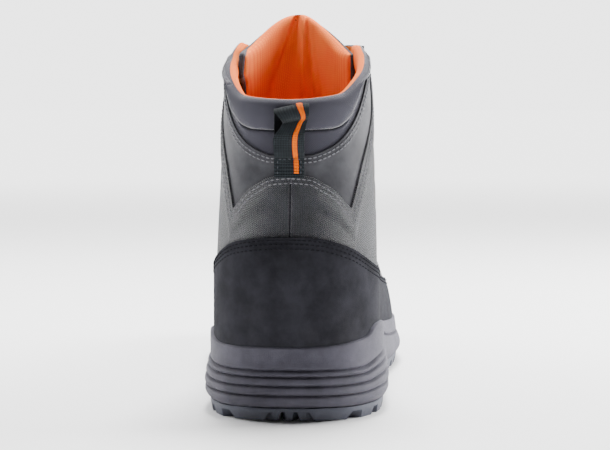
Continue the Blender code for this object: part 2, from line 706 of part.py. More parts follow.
def make_tongue(finish):
    """The padded tongue, inside the throat from under the vamp to above the collar."""
    across = np.linspace(-1, 1, TONGUE_COLUMNS)
    base = THROAT_HEIGHT - TONGUE_UNDER
    top = TONGUE_HEIGHT - TONGUE_DROP * np.abs(across) ** 2.4
    turns, heights = [], []
    for level in np.linspace(0, 1, TONGUE_ROWS):
        z = base + (top - base) * level
        reach = 1 - turn_at_width(z, np.full(z.shape, TONGUE_WIDTH / 2 * (0.55 + 0.45 * ease(level * 2.2))))
        turns.append(1 - across * reach)
        heights.append(z)
    under = WALL + SLACK
    return panel("tongue", np.array(turns), np.array(heights), -(under + TONGUE_THICKNESS), -under, finish)


def eyelet_places():
    """The turn and height of the eyelets' middles on the outer side, from the bottom pair up."""
    heights = np.linspace(THROAT_HEIGHT + EYELET_END, COLLAR_TIP_HEIGHT - EYELET_END, EYELET_PAIRS)
    return [(float(turn_behind_throat(z, EYELET_INSET)), z) for z in heights]


EYELET_SEGMENTS = 8
EYELET_RING = 4


def make_eyelet(name, turn, height, finish):
    """A turned metal ring lying on the eyestay."""
    base = form(turn, height, 0.0)
    axis = (form(turn, height, 1.0) - base)
    first = np.cross(axis, (0, 0, 1))
    first /= np.linalg.norm(first)
    second = np.cross(axis, first)
    centre = base + axis * (EYELET_RISE + EYELET_WIRE)
    points, faces = [], []
    for i in range(EYELET_SEGMENTS):
        angle = 2 * math.pi * i / EYELET_SEGMENTS
        arm = first * math.cos(angle) + second * math.sin(angle)
        for j in range(EYELET_RING):
            around = 2 * math.pi * (j + 0.5) / EYELET_RING
            radius = EYELET_RADIUS - EYELET_WIRE * (1 - math.cos(around))
            points.append(centre + arm * radius + axis * EYELET_WIRE * math.sin(around))
            i_next, j_next = (i + 1) % EYELET_SEGMENTS, (j + 1) % EYELET_RING
            faces.append((
                i * EYELET_RING + j, i_next * EYELET_RING + j,
                i_next * EYELET_RING + j_next, i * EYELET_RING + j_next,
            ))
    return add_object(name, points, faces, finish)


LACE_SAMPLES = 4


def lace_line(side):
    """The middle line of one lace, which crosses the throat from each eyelet to the next pair's other one."""
    places = eyelet_places()
    line = []
    for pair in range(EYELET_PAIRS - 1):
        near = side if pair % 2 == 0 else -side
        (turn_a, z_a), (turn_b, z_b) = places[pair], places[pair + 1]
        for step in range(1 if pair else 0, LACE_SAMPLES + 1):
            t = step / LACE_SAMPLES
            turn = near * (1 - (1 - turn_a) * (1 - 2 * t) if t < 0.5 else -(1 - (1 - turn_b) * (2 * t - 1)))
            line.append(form(turn, z_a + (z_b - z_a) * t, LACE_RISE))
    return line


def lace_object(name, line, finish):
    curve = bpy.data.curves.new(name, "CURVE")
    curve.dimensions = "3D"
    curve.bevel_depth = LACE_WIDTH / 2
    curve.bevel_resolution = 1
    curve.use_fill_caps = True
    spline = curve.splines.new("POLY")
    spline.points.add(len(line) - 1)
    for point, place in zip(spline.points, line):
        point.co = (*(place - ORIGIN), 1)
    curve.materials.append(finish)
    piece = bpy.data.objects.new(name, curve)
    bpy.context.scene.collection.objects.link(piece)
    return piece


def make_laces(finish):
    """Both laces, joined where they cross, and the bar between the lowest eyelets."""
    turn, height = eyelet_places()[0]
    bar = [form(1 - (1 - turn) * s, height, LACE_RISE) for s in (1.0, 0.5, 0.0, -0.5, -1.0)]
    lines = [lace_line(-1), lace_line(1), bar]
    pieces = []
    for number, line in enumerate(lines):
        curve = lace_object(f"lace_{number}", line, finish)
        bpy.context.view_layer.update()
        mesh = bpy.data.meshes.new_from_object(curve.evaluated_get(bpy.context.evaluated_depsgraph_get()))
        bpy.data.objects.remove(curve)
        work = bmesh.new()
        work.from_mesh(mesh)
        bmesh.ops.remove_doubles(work, verts=work.verts, dist=1e-6)
        bmesh.ops.recalc_face_normals(work, faces=work.faces)
        work.to_mesh(mesh)
        work.free()
        piece = bpy.data.objects.new("laces" if number == 0 else f"lace_cutter_{number}", mesh)
        bpy.context.scene.collection.objects.link(piece)
        pieces.append(piece)
    for other in pieces[1:]:
        other.hide_render = True
        other.display_type = "WIRE"
        join = pieces[0].modifiers.new(other.name, "BOOLEAN")
        join.operation = "UNION"
        join.object = other
    return pieces[0]


# The folded strap's middle: (share of its height, share of its reach), up the back layer and down the outer
LOOP_BACK = ((0.0, 0.0), (0.243, 0.0), (0.400, 0.05), (0.657, 0.09), (0.857, 0.15))
LOOP_CROWN = ((0.970, 0.30), (1.000, 0.58))
LOOP_FRONT = ((0.900, 0.88), (0.720, 1.00), (0.470, 0.94), (0.300, 0.58))


def make_pull_loop(finish):
    """The folded strap on the back of the cuff, stitched at its foot."""
    seat = form(0.0, LOOP_FOOT_HEIGHT, 2 * GAP + PANEL)[1]
    lean = form(0.0, LOOP_TOP_HEIGHT, 2 * GAP + PANEL)[1] - seat
    height = LOOP_TOP_HEIGHT - LOOP_FOOT_HEIGHT

    def place(up, out):
        return np.array((seat + lean * up - LOOP_REACH * out, LOOP_FOOT_HEIGHT + height * up))

    back = [place(*row) for row in LOOP_BACK]
    crown = [place(*row) for row in LOOP_CROWN]
    front = [place(*row) for row in LOOP_FRONT]
    foot = [place(up, 2 * LOOP_STRAP / LOOP_REACH) for up, _ in (LOOP_BACK[1], LOOP_BACK[0])]
    strap = np.array((LOOP_STRAP, 0.0))
    hole_foot = 0.5 * (back[1] + foot[0])
    outer = back + crown + front + foot
    inner = [hole_foot] * 2 + [p - strap for p in back[2:]]
    inner += [p - (0.3 * LOOP_STRAP, LOOP_STRAP) for p in crown] + [p + strap for p in front] + [hole_foot] * 2
    count = len(outer)
    points, faces = [], []
    for x in (-LOOP_WIDTH / 2, LOOP_WIDTH / 2):
        points += [(x, *p) for p in outer] + [(x, *p) for p in inner]
    right = 2 * count
    for i in range(count):
        j = (i + 1) % count
        faces.append((i, j, right + j, right + i))
        faces.append((count + i, right + count + i, right + count + j, count + j))
        for start in (0, right):
            faces.append((start + i, start + count + i, start + count + j, start + j))
    return add_object("pull_loop", points, faces, finish, smooth=False)


def clear_scene():
    for thing in list(bpy.data.objects):
        bpy.data.objects.remove(thing)


def main():
    clear_scene()
    slate = material("midsole_foam", (0.092, 0.086, 0.112), 0.85)
    rubber = material("outsole_rubber", (0.022, 0.022, 0.027), 0.75)
    weave = material("woven_upper", (0.060, 0.064, 0.072), 0.80)
    lining = material("lining", (0.80, 0.13, 0.018), 0.90)
    nubuck = material("rand_nubuck", (0.016, 0.016, 0.019), 0.70)
    smooth_grey = material("wrap_nubuck", (0.085, 0.085, 0.095), 0.60)
    cuff_cloth = material("cuff_cloth", (0.098, 0.094, 0.115), 0.75)
    webbing = material("webbing", (0.022, 0.028, 0.028), 0.80)
    brass = material("eyelet_metal", (0.10, 0.10, 0.11), 0.35, 0.9)
    cord = material("lace_cord", (0.030, 0.030, 0.034), 0.85)

    make_outsole(rubber)
    make_midsole(slate)
    make_insole(lining)
    make_upper(weave)
    make_rand(nubuck)
    make_wrap(smooth_grey)
    make_cuff(cuff_cloth)
    make_eyestay(1, "eyestay_outer", smooth_grey)
    make_eyestay(-1, "eyestay_inner", smooth_grey)
    make_tongue(weave)
    for side, side_name in ((1, "outer"), (-1, "inner")):
        for number, (turn, height) in enumerate(eyelet_places(), start=1):
            make_eyelet(f"eyelet_{side_name}_{number}", side * turn, height, brass)
    make_laces(cord)
    make_pull_loop(webbing)


# The origin: the middle of the sole's box, on the floor
SOLE_EDGE = feather(np.linspace(-1, 1, 720), BELLY_OUT)
ORIGIN = np.array((
    (SOLE_EDGE[:, 0].max() + SOLE_EDGE[:, 0].min()) / 2,
    (SOLE_EDGE[:, 1].max() + SOLE_EDGE[:, 1].min()) / 2,
    0.0,
))

main()
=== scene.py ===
# %% [markdown]
# # A wading boot, dressed
#
# This lesson builds the looks of one right wading boot round its imported CAD model. The CAD gives the
# frame: every size and place here comes from it. We make each visible piece anew, as cloth, nubuck, foam
# and rubber, and let it stand for its CAD solid.
#
# First we load the frame, and a helper that reads the box of any of its parts. Nothing that we add may
# leave it.

# %% Load the frame
import math

import bmesh
import bpy
import numpy as np
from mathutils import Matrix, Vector


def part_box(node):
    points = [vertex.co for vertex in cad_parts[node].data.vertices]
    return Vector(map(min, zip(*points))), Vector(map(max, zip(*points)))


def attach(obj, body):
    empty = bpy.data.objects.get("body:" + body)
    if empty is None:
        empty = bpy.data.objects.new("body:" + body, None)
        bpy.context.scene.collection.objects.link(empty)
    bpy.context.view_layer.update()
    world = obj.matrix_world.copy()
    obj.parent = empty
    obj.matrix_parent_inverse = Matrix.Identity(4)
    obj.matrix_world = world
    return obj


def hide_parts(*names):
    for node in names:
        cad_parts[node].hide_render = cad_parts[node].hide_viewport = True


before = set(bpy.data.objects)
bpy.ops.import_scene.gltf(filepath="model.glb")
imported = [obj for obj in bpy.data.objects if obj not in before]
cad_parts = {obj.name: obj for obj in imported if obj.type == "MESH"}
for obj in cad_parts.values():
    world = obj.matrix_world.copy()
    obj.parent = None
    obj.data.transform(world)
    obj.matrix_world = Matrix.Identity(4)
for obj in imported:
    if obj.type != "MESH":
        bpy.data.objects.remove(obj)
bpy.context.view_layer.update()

# %% Helpers for nodes
def add(tree, kind, inputs=None, **settings):
    """A new node with its settings, values and links."""
    made = tree.nodes.new("ShaderNode" + kind)
    for key, value in settings.items():
        setattr(made, key, value)
    for key, value in (inputs or {}).items():
        if isinstance(value, bpy.types.NodeSocket):
            tree.links.new(value, made.inputs[key])
        else:
            made.inputs[key].default_value = value
    return made


def calculate(tree, operation, *values, clamp=False):
    return add(tree, "Math", dict(enumerate(values)), operation=operation, use_clamp=clamp).outputs[0]


def blend_colours(tree, factor, first, second):
    made = add(tree, "Mix", {0: factor, 6: first, 7: second}, data_type="RGBA")
    return made.outputs[2]
# %% [markdown]
# ## The camera
#
# The photograph looks at the back of the boot from a little to its right and a little above, from about
# an arm's length. The camera is set by the point that it looks at, its distance and two angles.

# %% Set the camera
IMAGE_WIDTH = 610  # of the photograph, in pixels
SENSOR = 36.0
FOCAL_PIXELS = 1802.0
CAMERA_DISTANCE = 0.900
CAMERA_AZIMUTH = math.radians(3.19)
CAMERA_ELEVATION = math.radians(4.30)
LOOKED_AT = Vector((0.00612, -0.0600, 0.0826))

camera_data = bpy.data.cameras.new("camera")
camera = bpy.data.objects.new("camera", camera_data)
bpy.context.scene.collection.objects.link(camera)
away = Vector((
    math.sin(CAMERA_AZIMUTH) * math.cos(CAMERA_ELEVATION),
    -math.cos(CAMERA_AZIMUTH) * math.cos(CAMERA_ELEVATION),
    math.sin(CAMERA_ELEVATION),
))
camera.location = LOOKED_AT + CAMERA_DISTANCE * away
camera.rotation_euler = (-away).to_track_quat("-Z", "Y").to_euler()
camera_data.sensor_width = SENSOR
camera_data.lens = FOCAL_PIXELS * SENSOR / IMAGE_WIDTH
bpy.context.scene.camera = camera
print("camera at", [round(c, 3) for c in camera.location], "lens in mm:", round(camera_data.lens, 1))

# %% [markdown]
# ## Floor and light
#
# A white sweep and large soft lights give the even studio light of a catalogue picture. A big light
# overhead makes the soft shadow under the sole, one on each side shapes the heel, and one behind the
# camera fills the back.

# %% Make the floor and the lights
def area_light(name, place, target, size, power):
    """A square soft light that looks at a point."""
    data = bpy.data.lights.new(name, "AREA")
    data.size = size
    data.energy = power
    light = bpy.data.objects.new(name, data)
    light.location = place
    light.rotation_euler = (Vector(target) - Vector(place)).to_track_quat("-Z", "Y").to_euler()
    bpy.context.scene.collection.objects.link(light)


BACKDROP = 3.4  # how bright the world is behind the boot
FLOOR_SIZE = 24.0
FADE_START, FADE_END = 0.25, 2.2  # the distances over which the floor turns into the backdrop

bpy.ops.object.select_all(action="DESELECT")
bpy.ops.mesh.primitive_plane_add(size=FLOOR_SIZE, location=(0, 0, 0))
floor = bpy.context.object
floor.name = "floor"
paper = bpy.data.materials.new("paper")
paper.use_nodes = True
tree = paper.node_tree
shader = tree.nodes["Principled BSDF"]
for socket, value in (("Roughness", 0.9), ("Specular IOR Level", 0.1), ("Emission Strength", BACKDROP)):
    shader.inputs[socket].default_value = value
distance = add(tree, "VectorMath", {0: add(tree, "TexCoord").outputs["Object"]}, operation="LENGTH")
far = add(tree, "MapRange", {0: distance.outputs["Value"], 1: FADE_START, 2: FADE_END},
          interpolation_type="SMOOTHSTEP")
for socket, near, beyond in (("Base Color", 0.95, 0.0), ("Emission Color", 0.0, 1.0)):
    blend = blend_colours(tree, far.outputs[0], (near, near, near, 1), (beyond, beyond, beyond, 1))
    tree.links.new(blend, shader.inputs[socket])
floor.data.materials.append(paper)

BOOT_MIDDLE = (0.0, -0.05, 0.08)
area_light("overhead", (0.05, 0.36, 1.20), BOOT_MIDDLE, 0.5, 42.0)
area_light("left", (-0.95, 0.38, 0.35), BOOT_MIDDLE, 0.7, 12.5)
area_light("right", (0.95, 0.38, 0.40), BOOT_MIDDLE, 0.7, 33.0)
area_light("behind_camera", (0.10, -1.70, 0.60), BOOT_MIDDLE, 0.8, 0.8)
area_light("into_collar", (-0.20, -0.13, 0.42), (0.0, -0.02, 0.15), 0.10, 0.5)

# %% Make the world brighter behind the boot than behind the camera
world = bpy.data.worlds.new("world")
bpy.context.scene.world = world
world.use_nodes = True
sky = world.node_tree
direction = add(sky, "SeparateXYZ", {0: add(sky, "TexCoord").outputs["Generated"]})
strength = add(sky, "MapRange", {0: direction.outputs["Y"], 1: 0.10, 2: 0.95, 3: 0.05, 4: BACKDROP})
sky.nodes["Background"].inputs["Color"].default_value = (1, 1, 1, 1)
sky.links.new(strength.outputs[0], sky.nodes["Background"].inputs["Strength"])

# %% [markdown]
# ## The last
#
# A shoemaker builds a boot over a last, a solid foot. We do the same. The last here is a surface given
# by functions, the same one that the CAD was made on, because a mesh of the CAD is too coarse to lie
# smoothly on. A place on it is named by a turn and a height. Turn 0 is the middle of the heel, turns grow
# round the outer side to 1 at the front, and shrink round the inner side to -1, which is the same line.
#
# The main sizes are read from the frame. The tables below give the last's shape as shares of them.

# %% Read the sizes from the frame
MM = 0.001
SOLE_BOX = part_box("midsole")
TIP_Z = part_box("upper")[1].z  # the collar's front tips
TONGUE_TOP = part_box("tongue")[1].z
LOOP_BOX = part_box("pull_loop")
LENGTH = round(SOLE_BOX[1].y - SOLE_BOX[0].y, 3)
RIM_Z = TIP_Z * 0.8576  # the rim at the back
THROAT_Z = TIP_Z * 0.4593  # the bottom of the lacing opening
ANKLE_Z = TIP_Z * 0.6105
COUNTER_Z = TIP_Z * 0.4913  # the top of the rubbered counter behind the heel
SIDE_RAND_Z = TIP_Z * 0.2529
TOE_CAP_Z = TIP_Z * 0.3169
ORIGIN = np.array((-3.82 * MM, 155.52 * MM, 0.0))  # the frame's origin, from the heel's own corner
GAP = 0.3 * MM
WALL = 3.0 * MM
LUG = 3.8 * MM
BALL_WIDTH, WAIST_WIDTH, HEEL_WIDTH, TOE_WIDTH = 93.8 * MM, 70.0 * MM, 73.5 * MM, 87.0 * MM
ANKLE_WIDTH, COLLAR_WIDTH = 71.2 * MM, 66.5 * MM
HEEL_SWING, BALL_SWING, TOE_SWING = 1.2 * MM, -3.8 * MM, -10.5 * MM
CLEARANCE = 6.5 * MM  # from the sole's ends to the upper's
HEEL_BED, WAIST_BED, BALL_BED, TOE_BED, TOE_SPRING = 27.0 * MM, 23.5 * MM, 15.0 * MM, 14.0 * MM, 14.0 * MM
ARCH_LIFT = 3.0 * MM
RIM_OUT, BELLY_OUT, FOOT_OUT = 3.2 * MM, 6.4 * MM, 4.8 * MM
SHAFT_DEPTH, SHAFT_RADIUS = 102.0 * MM, 52.0 * MM
THROAT_WIDTH, THROAT_TOP_WIDTH, TONGUE_WIDTH = 26.0 * MM, 41.0 * MM, 50.0 * MM
EYESTAY_WIDTH, EYELET_INSET, EYELET_END = 20.0 * MM, 8.5 * MM, 11.5 * MM
print("length", LENGTH, "tips", round(TIP_Z, 4), "rim", round(RIM_Z, 4), "throat", round(THROAT_Z, 4))

# %% Draw a smooth curve through a table
def smooth_curve(rows):
    """A smooth function through rows of (place, value) that never swings past them."""
    x, y = np.array(rows, float).T
    step = np.diff(x)
    rise = np.diff(y) / step
    slope = np.zeros(len(x))
    for i in range(1, len(x) - 1):
        if rise[i - 1] * rise[i] > 0:
            before = 2 * step[i] + step[i - 1]
            after = step[i] + 2 * step[i - 1]
            slope[i] = (before + after) / (before / rise[i - 1] + after / rise[i])
    slope[0], slope[-1] = rise[0], rise[-1]

    def value(at):
        at = np.clip(np.asarray(at, float), x[0], x[-1])
        i = np.clip(np.searchsorted(x, at, side="right") - 1, 0, len(step) - 1)
        t = (at - x[i]) / step[i]
        return (
            y[i] * (1 + 2 * t) * (1 - t) ** 2 + y[i + 1] * t * t * (3 - 2 * t)
            + step[i] * (slope[i] * t * (1 - t) ** 2 + slope[i + 1] * t * t * (t - 1))
        )

    return value


def ease(t):
    t = np.clip(t, 0, 1)
    return t * t * (3 - 2 * t)


def gone_along(path):
    """How far along a path each of its points lies."""
    return np.concatenate([[0], np.cumsum(np.linalg.norm(np.diff(path, axis=0), axis=1))])


def rows_at(at, places, rows):
    """Rows between the rows that are given for some places."""
    return np.stack([np.interp(at, places, column) for column in np.transpose(rows)], 1)


def look_up(table, row, column):
    """The value between four entries of a table, for arrays of rows and columns with fractions."""
    r = np.minimum(row.astype(int), table.shape[0] - 2)
    c = np.minimum(column.astype(int), table.shape[1] - 2)
    a, b = row - r, column - c
    low = table[r, c] * (1 - b) + table[r, c + 1] * b
    high = table[r + 1, c] * (1 - b) + table[r + 1, c + 1] * b
    return low * (1 - a) + high * a


# %% Write down the last's tables
LIFT = smooth_curve([  # the floor side of the sole, over a share of its length
    (0.00, 1.2 * MM), (0.05, 0), (0.29, 0), (0.40, ARCH_LIFT), (0.51, 0), (0.73, 0),
    (0.86, 0.3 * TOE_SPRING), (1.00, TOE_SPRING),
])
BED = smooth_curve([
    (0.00, HEEL_BED), (0.25, HEEL_BED), (0.40, WAIST_BED - ARCH_LIFT), (0.64, BALL_BED), (1.00, TOE_BED),
])
WALL_TOP = smooth_curve([
    (0.00, 33.9 * MM), (0.06, 33.9 * MM), (0.19, 39.5 * MM), (0.30, 39.5 * MM), (0.44, 31.25 * MM),
    (0.64, 23.0 * MM), (0.90, 23.0 * MM), (1.00, 26.0 * MM),
])
FOOT_HALF = smooth_curve([
    (0.00, HEEL_WIDTH / 2), (0.15, HEEL_WIDTH / 2), (0.37, WAIST_WIDTH / 2), (0.655, BALL_WIDTH / 2),
    (0.82, TOE_WIDTH / 2), (1.00, TOE_WIDTH / 2),
])
MIDDLE = smooth_curve([
    (0.00, 0), (0.15, HEEL_SWING), (0.30, 0.7 * HEEL_SWING), (0.655, BALL_SWING), (1.00, TOE_SWING),
])
SHAFT_HALF = smooth_curve([
    (0.48 * ANKLE_Z, HEEL_WIDTH / 2), (ANKLE_Z, ANKLE_WIDTH / 2), (RIM_Z, COLLAR_WIDTH / 2),
    (TIP_Z, 0.935 * COLLAR_WIDTH / 2), (1.06 * TONGUE_TOP, 0.88 * COLLAR_WIDTH / 2),
])
HEEL_BACK = smooth_curve([
    (0.19 * ANKLE_Z, 0), (0.43 * ANKLE_Z, -2.0 * MM), (0.59 * ANKLE_Z, -1.8 * MM),
    (0.81 * ANKLE_Z, 2.1 * MM), (1.11 * ANKLE_Z, 7.0 * MM), (0.90 * RIM_Z, 6.79 * MM), (RIM_Z, 5.0 * MM),
    (1.06 * TONGUE_TOP, 5.0 * MM),
])
TOE_TIP_Y = LENGTH - CLEARANCE
TOE_TIP_Z = TOE_BED + TOE_SPRING
ANKLE_FRONT = CLEARANCE + SHAFT_DEPTH
FOOT_FRONT = (
    (1.000, -0.390), (0.9985, 0.020), (0.989, 0.216), (0.951, 0.392), (0.884, 0.520), (0.783, 0.637),
    (0.643, 0.784), (0.465, 1.000),
)
SHAFT_FRONT = (
    (0.294, 0.146), (0.131, 0.351), (0.051, 0.546), (0.015, 0.741), (0.020, 0.922), (0.030, 1.100),
)
FRONT = [(TOE_TIP_Z + (THROAT_Z - TOE_TIP_Z) * up, along) for along, up in FOOT_FRONT]
FRONT += [(THROAT_Z + (TONGUE_TOP - THROAT_Z) * up, along) for along, up in SHAFT_FRONT]
FRONT_Z = np.linspace(FRONT[0][0], FRONT[-1][0], 400)
FRONT_Y = ANKLE_FRONT + (TOE_TIP_Y - ANKLE_FRONT) * smooth_curve(FRONT)(FRONT_Z)
FAN_Y = ANKLE_FRONT + 65.0 * MM  # the centre that the instep's sections fan about
FAN_Z = THROAT_Z + 0.88 * (TONGUE_TOP - THROAT_Z)
FAN_ZONE = (FRONT_Y < FAN_Y) & (FRONT_Z < FAN_Z)
FAN_ANGLES = np.arctan2(FAN_Y - FRONT_Y, FAN_Z - FRONT_Z)[FAN_ZONE]
FAN_RADII = np.hypot(FAN_Y - FRONT_Y, FAN_Z - FRONT_Z)[FAN_ZONE]
print("toe tip at", round(TOE_TIP_Y, 4), round(TOE_TIP_Z, 4))

# %% Find a point of the last
TURN_STEP = 0.004  # the step over which slopes are measured


def share(y):
    return np.asarray(y, float) / LENGTH


def bed(y):
    return LIFT(share(y)) + BED(share(y))


def wall_top(y):
    return LIFT(share(y)) + WALL_TOP(share(y))


def ridge_z(y):
    return np.interp(y, FRONT_Y[::-1], FRONT_Z[::-1])


def rounding(distance, radius, fullness):
    """A width's share at a distance in from the outline: 0 on it, 1 from the radius inwards."""
    inside = np.clip(distance / np.maximum(radius, 1e-6), 0, 1)
    return (1 - (1 - inside) ** fullness) ** (1 / fullness)


def ridge_rounding(y, z):
    """How sections close towards the front: upright in the foot, level in the shaft, a fan between."""
    foot = rounding(ridge_z(y) - z, np.maximum(ridge_z(y) - bed(y), 2 * MM), 2.15)
    shaft = rounding(np.interp(z, FRONT_Z, FRONT_Y) - y, SHAFT_RADIUS, 2.15)
    angle = np.arctan2(np.maximum(FAN_Y - y, 0), np.maximum(FAN_Z - z, 0))
    distance = np.hypot(FAN_Y - y, FAN_Z - z) - np.interp(angle, FAN_ANGLES, FAN_RADII)
    turned = ease(angle / (math.pi / 2))
    depth = (ridge_z(FAN_Y) - bed(FAN_Y)) * (1 - turned) + SHAFT_RADIUS * turned
    fan = rounding(distance, depth, 2.15)
    return np.where(y >= FAN_Y, foot, np.where(z >= FAN_Z, shaft, fan))


def half_width(y, z):
    heel = rounding(y - CLEARANCE - HEEL_BACK(z), 43 * MM, 2.25)
    toe = (1 - np.clip((y - TOE_TIP_Y) / (56 * MM) + 1, 0, 1) ** 2.3) ** (1 / 2.3)
    risen = ease((z / ANKLE_Z - 0.43) / 0.57) * ease((FAN_Y - y) / (65 * MM) / 1.23 + 0.125)
    side = FOOT_HALF(share(y)) * (1 - risen) + SHAFT_HALF(z) * risen
    return side * heel * toe * ridge_rounding(y, z)


def last_point(turn, z):
    """The point of the last at a turn and a height, for arrays of both, from the heel's own corner."""
    turn, z = np.broadcast_arrays(np.asarray(turn, float), np.asarray(z, float))
    turn = (turn + 1) % 2 - 1
    back = CLEARANCE + HEEL_BACK(z)
    y = back + (np.interp(z, FRONT_Z, FRONT_Y) - back) * (1 - np.cos(math.pi * np.abs(turn))) / 2
    return np.stack([MIDDLE(share(y)) + np.sign(turn) * half_width(y, z), y, z], axis=-1)


def outward(turn, z):
    """The last's outward normal."""
    across = last_point(np.add(turn, TURN_STEP), z) - last_point(np.subtract(turn, TURN_STEP), z)
    up = last_point(turn, np.add(z, 0.6 * MM)) - last_point(turn, np.subtract(z, 0.6 * MM))
    normal = np.cross(across, up)
    return normal / np.linalg.norm(normal, axis=-1, keepdims=True)


def on_last(turn, z, out=0.0):
    """A point of the frame that lies a distance outside the last."""
    return last_point(turn, z) - ORIGIN + outward(turn, z) * np.asarray(out, float)[..., None]


def place_of(turn, height_at):
    """The y and the height of a line round the last that is given as a height for each y."""
    z = np.full(np.shape(turn), HEEL_BED)
    for _ in range(12):
        y = last_point(turn, z)[..., 1]
        z = 0.5 * (z + height_at(y))
    return y, height_at(y)


def feather(turn, out=0.0):
    """The plan of the line where upper meets bed, moved out level."""
    _, z = place_of(turn, bed)
    _, after = place_of(np.add(turn, TURN_STEP), bed)
    _, before = place_of(np.subtract(turn, TURN_STEP), bed)
    along = last_point(np.add(turn, TURN_STEP), after) - last_point(np.subtract(turn, TURN_STEP), before)
    normal = np.stack([along[..., 1], -along[..., 0], np.zeros(np.shape(turn))], axis=-1)
    normal /= np.linalg.norm(normal, axis=-1, keepdims=True)
    return last_point(turn, z) + normal * np.asarray(out, float)[..., None]


heel_point = on_last(0.0, COUNTER_Z)
print("heel of the last at", [round(1000 * float(c), 1) for c in heel_point], "mm")

# %% [markdown]
# ## Lines on the upper
#
# The collar's rim, the edges of the panels and the throat are drawn on the last once, as tables, so that
# every piece and every row of stitches follows the same line. The panels' edges come from the
# photograph: behind, the cuff ends in a flat arch, the woven quarter rises to an arch under it, and the
# smooth wrap shows between them, reaching down to a point on each side.

# %% Draw the lines
RIM = smooth_curve([
    (0.00, 0), (0.18, 0.04), (0.30, 0.29), (0.45, 0.63), (0.62, 0.95), (0.80, 1.0), (1.00, 1.0),
])
CUFF_EDGE = smooth_curve([
    (0.000, 0.815), (0.050, 0.817), (0.084, 0.826), (0.130, 0.845), (0.180, 0.876), (0.226, 0.915),
    (0.275, 0.966), (0.310, 1.004), (0.340, 1.034), (0.373, 1.062), (0.400, 1.085), (0.460, 1.120),
])
CUFF_SEAM = smooth_curve([
    (0.000, 0.891), (0.085, 0.894), (0.130, 0.8965), (0.160, 0.903), (0.195, 0.920), (0.225, 0.948),
    (0.250, 0.982), (0.275, 1.020), (0.300, 1.050), (0.340, 1.075), (0.400, 1.100), (0.460, 1.130),
])
TIP_TURN = 0.169  # where the wrap reaches down to a point between the quarter's arch and its sides
ARCH_EDGE = smooth_curve([
    (0.00, 0.755), (0.05, 0.749), (0.093, 0.7255), (0.128, 0.698), (0.150, 0.669), (TIP_TURN, 0.648),
])
SIDE_EDGE = smooth_curve([
    (TIP_TURN, 0.648), (0.203, 0.712), (0.25, 0.788), (0.315, 0.867), (0.42, 0.965), (0.50, 1.045),
    (0.58, 1.120), (0.70, 1.170),
])
RAND_TOP = smooth_curve([
    (0.000, COUNTER_Z), (0.020, 0.993 * COUNTER_Z), (0.050, 0.940 * COUNTER_Z), (0.100, 0.860 * COUNTER_Z),
    (0.200, 0.765 * COUNTER_Z), (0.340, 1.42 * SIDE_RAND_Z), (0.430, 1.25 * SIDE_RAND_Z),
    (0.560, 1.04 * SIDE_RAND_Z), (0.700, SIDE_RAND_Z), (0.840, 0.950 * TOE_CAP_Z), (1.000, TOE_CAP_Z),
])
THROAT = smooth_curve([
    (0.0, 0.0), (0.013, 0.30 * THROAT_WIDTH), (0.065, 0.46 * THROAT_WIDTH), (0.32, 0.50 * THROAT_WIDTH),
    (0.785, 0.40 * THROAT_TOP_WIDTH), (1.0, 0.50 * THROAT_TOP_WIDTH),
])
OUTER_TOP = smooth_curve([  # how far the midsole's rim on the outer side lies over the inner side's, in mm
    (0.02, 0.0), (0.06, 0.5), (0.10, 1.4), (0.135, 2.4), (0.158, 2.0), (0.178, 3.4), (0.195, 3.0),
    (0.215, 1.8), (0.24, 0.0), (0.28, -1.3), (0.32, -1.8), (0.36, -4.0), (0.40, -5.7), (0.43, -5.5),
    (0.48, -1.9), (0.54, 0.6), (0.60, 1.5), (0.68, 0.7), (0.75, 0.0),
])


def rim(turn):
    return RIM_Z + (TIP_Z - RIM_Z) * RIM(np.abs(turn))


def collar_top(turn):
    """The top of the shell and of the padded roll on it, a little under the rim at the back."""
    return rim(turn) - 2.7 * MM * (1 - ease(np.abs(turn) / np.where(turn > 0, 0.34, 0.50)))


def cuff_edge(turn):
    return RIM_Z * CUFF_EDGE(np.abs(turn))


def quarter_edge(turn):
    turn = np.abs(turn)
    line = RIM_Z * np.where(turn < TIP_TURN, ARCH_EDGE(turn), SIDE_EDGE(turn))
    return np.minimum(line, rim(turn) - 0.6 * MM)


def cuff_seam(turn):
    return np.minimum(RIM_Z * CUFF_SEAM(np.abs(turn)), rim(turn) - 1.2 * MM)


# %% Measure distances behind the throat's edge
STEPS_BEHIND = np.linspace(0, 60 * MM, 61)
THROAT_LEVELS = np.concatenate([THROAT_Z + np.array((0.2, 0.6, 1.2, 2.2, 3.6)) * MM, np.linspace(
    THROAT_Z + 6 * MM, 1.02 * TIP_Z, 34)])


def width_reached(points):
    """How far from the middle line the points up to each one have reached."""
    return np.maximum.accumulate(np.abs(points[:, 0] - MIDDLE(share(points[:, 1]))))


def turns_behind(z):
    """The turns at each of STEPS_BEHIND behind the throat's edge, at one height."""
    turns = np.linspace(1, 0.4, 600)
    points = last_point(turns, z)
    half = THROAT((z - THROAT_Z) / (TIP_Z - THROAT_Z))
    gone = gone_along(points)
    return np.interp(np.interp(half, width_reached(points), gone) + STEPS_BEHIND, gone, turns)


BEHIND = np.array([turns_behind(z) for z in THROAT_LEVELS])


def behind_throat(z, distance):
    """The turn that lies a distance behind the throat's edge at a height, for arrays of both."""
    row = np.interp(z, THROAT_LEVELS, np.arange(len(THROAT_LEVELS)))
    column = np.clip(np.asarray(distance) / (1 * MM), 0, len(STEPS_BEHIND) - 1.001)
    return look_up(BEHIND, row, column)


print("throat's edge at the top: turn", round(float(behind_throat(np.array(TIP_Z), 0.0)), 3))

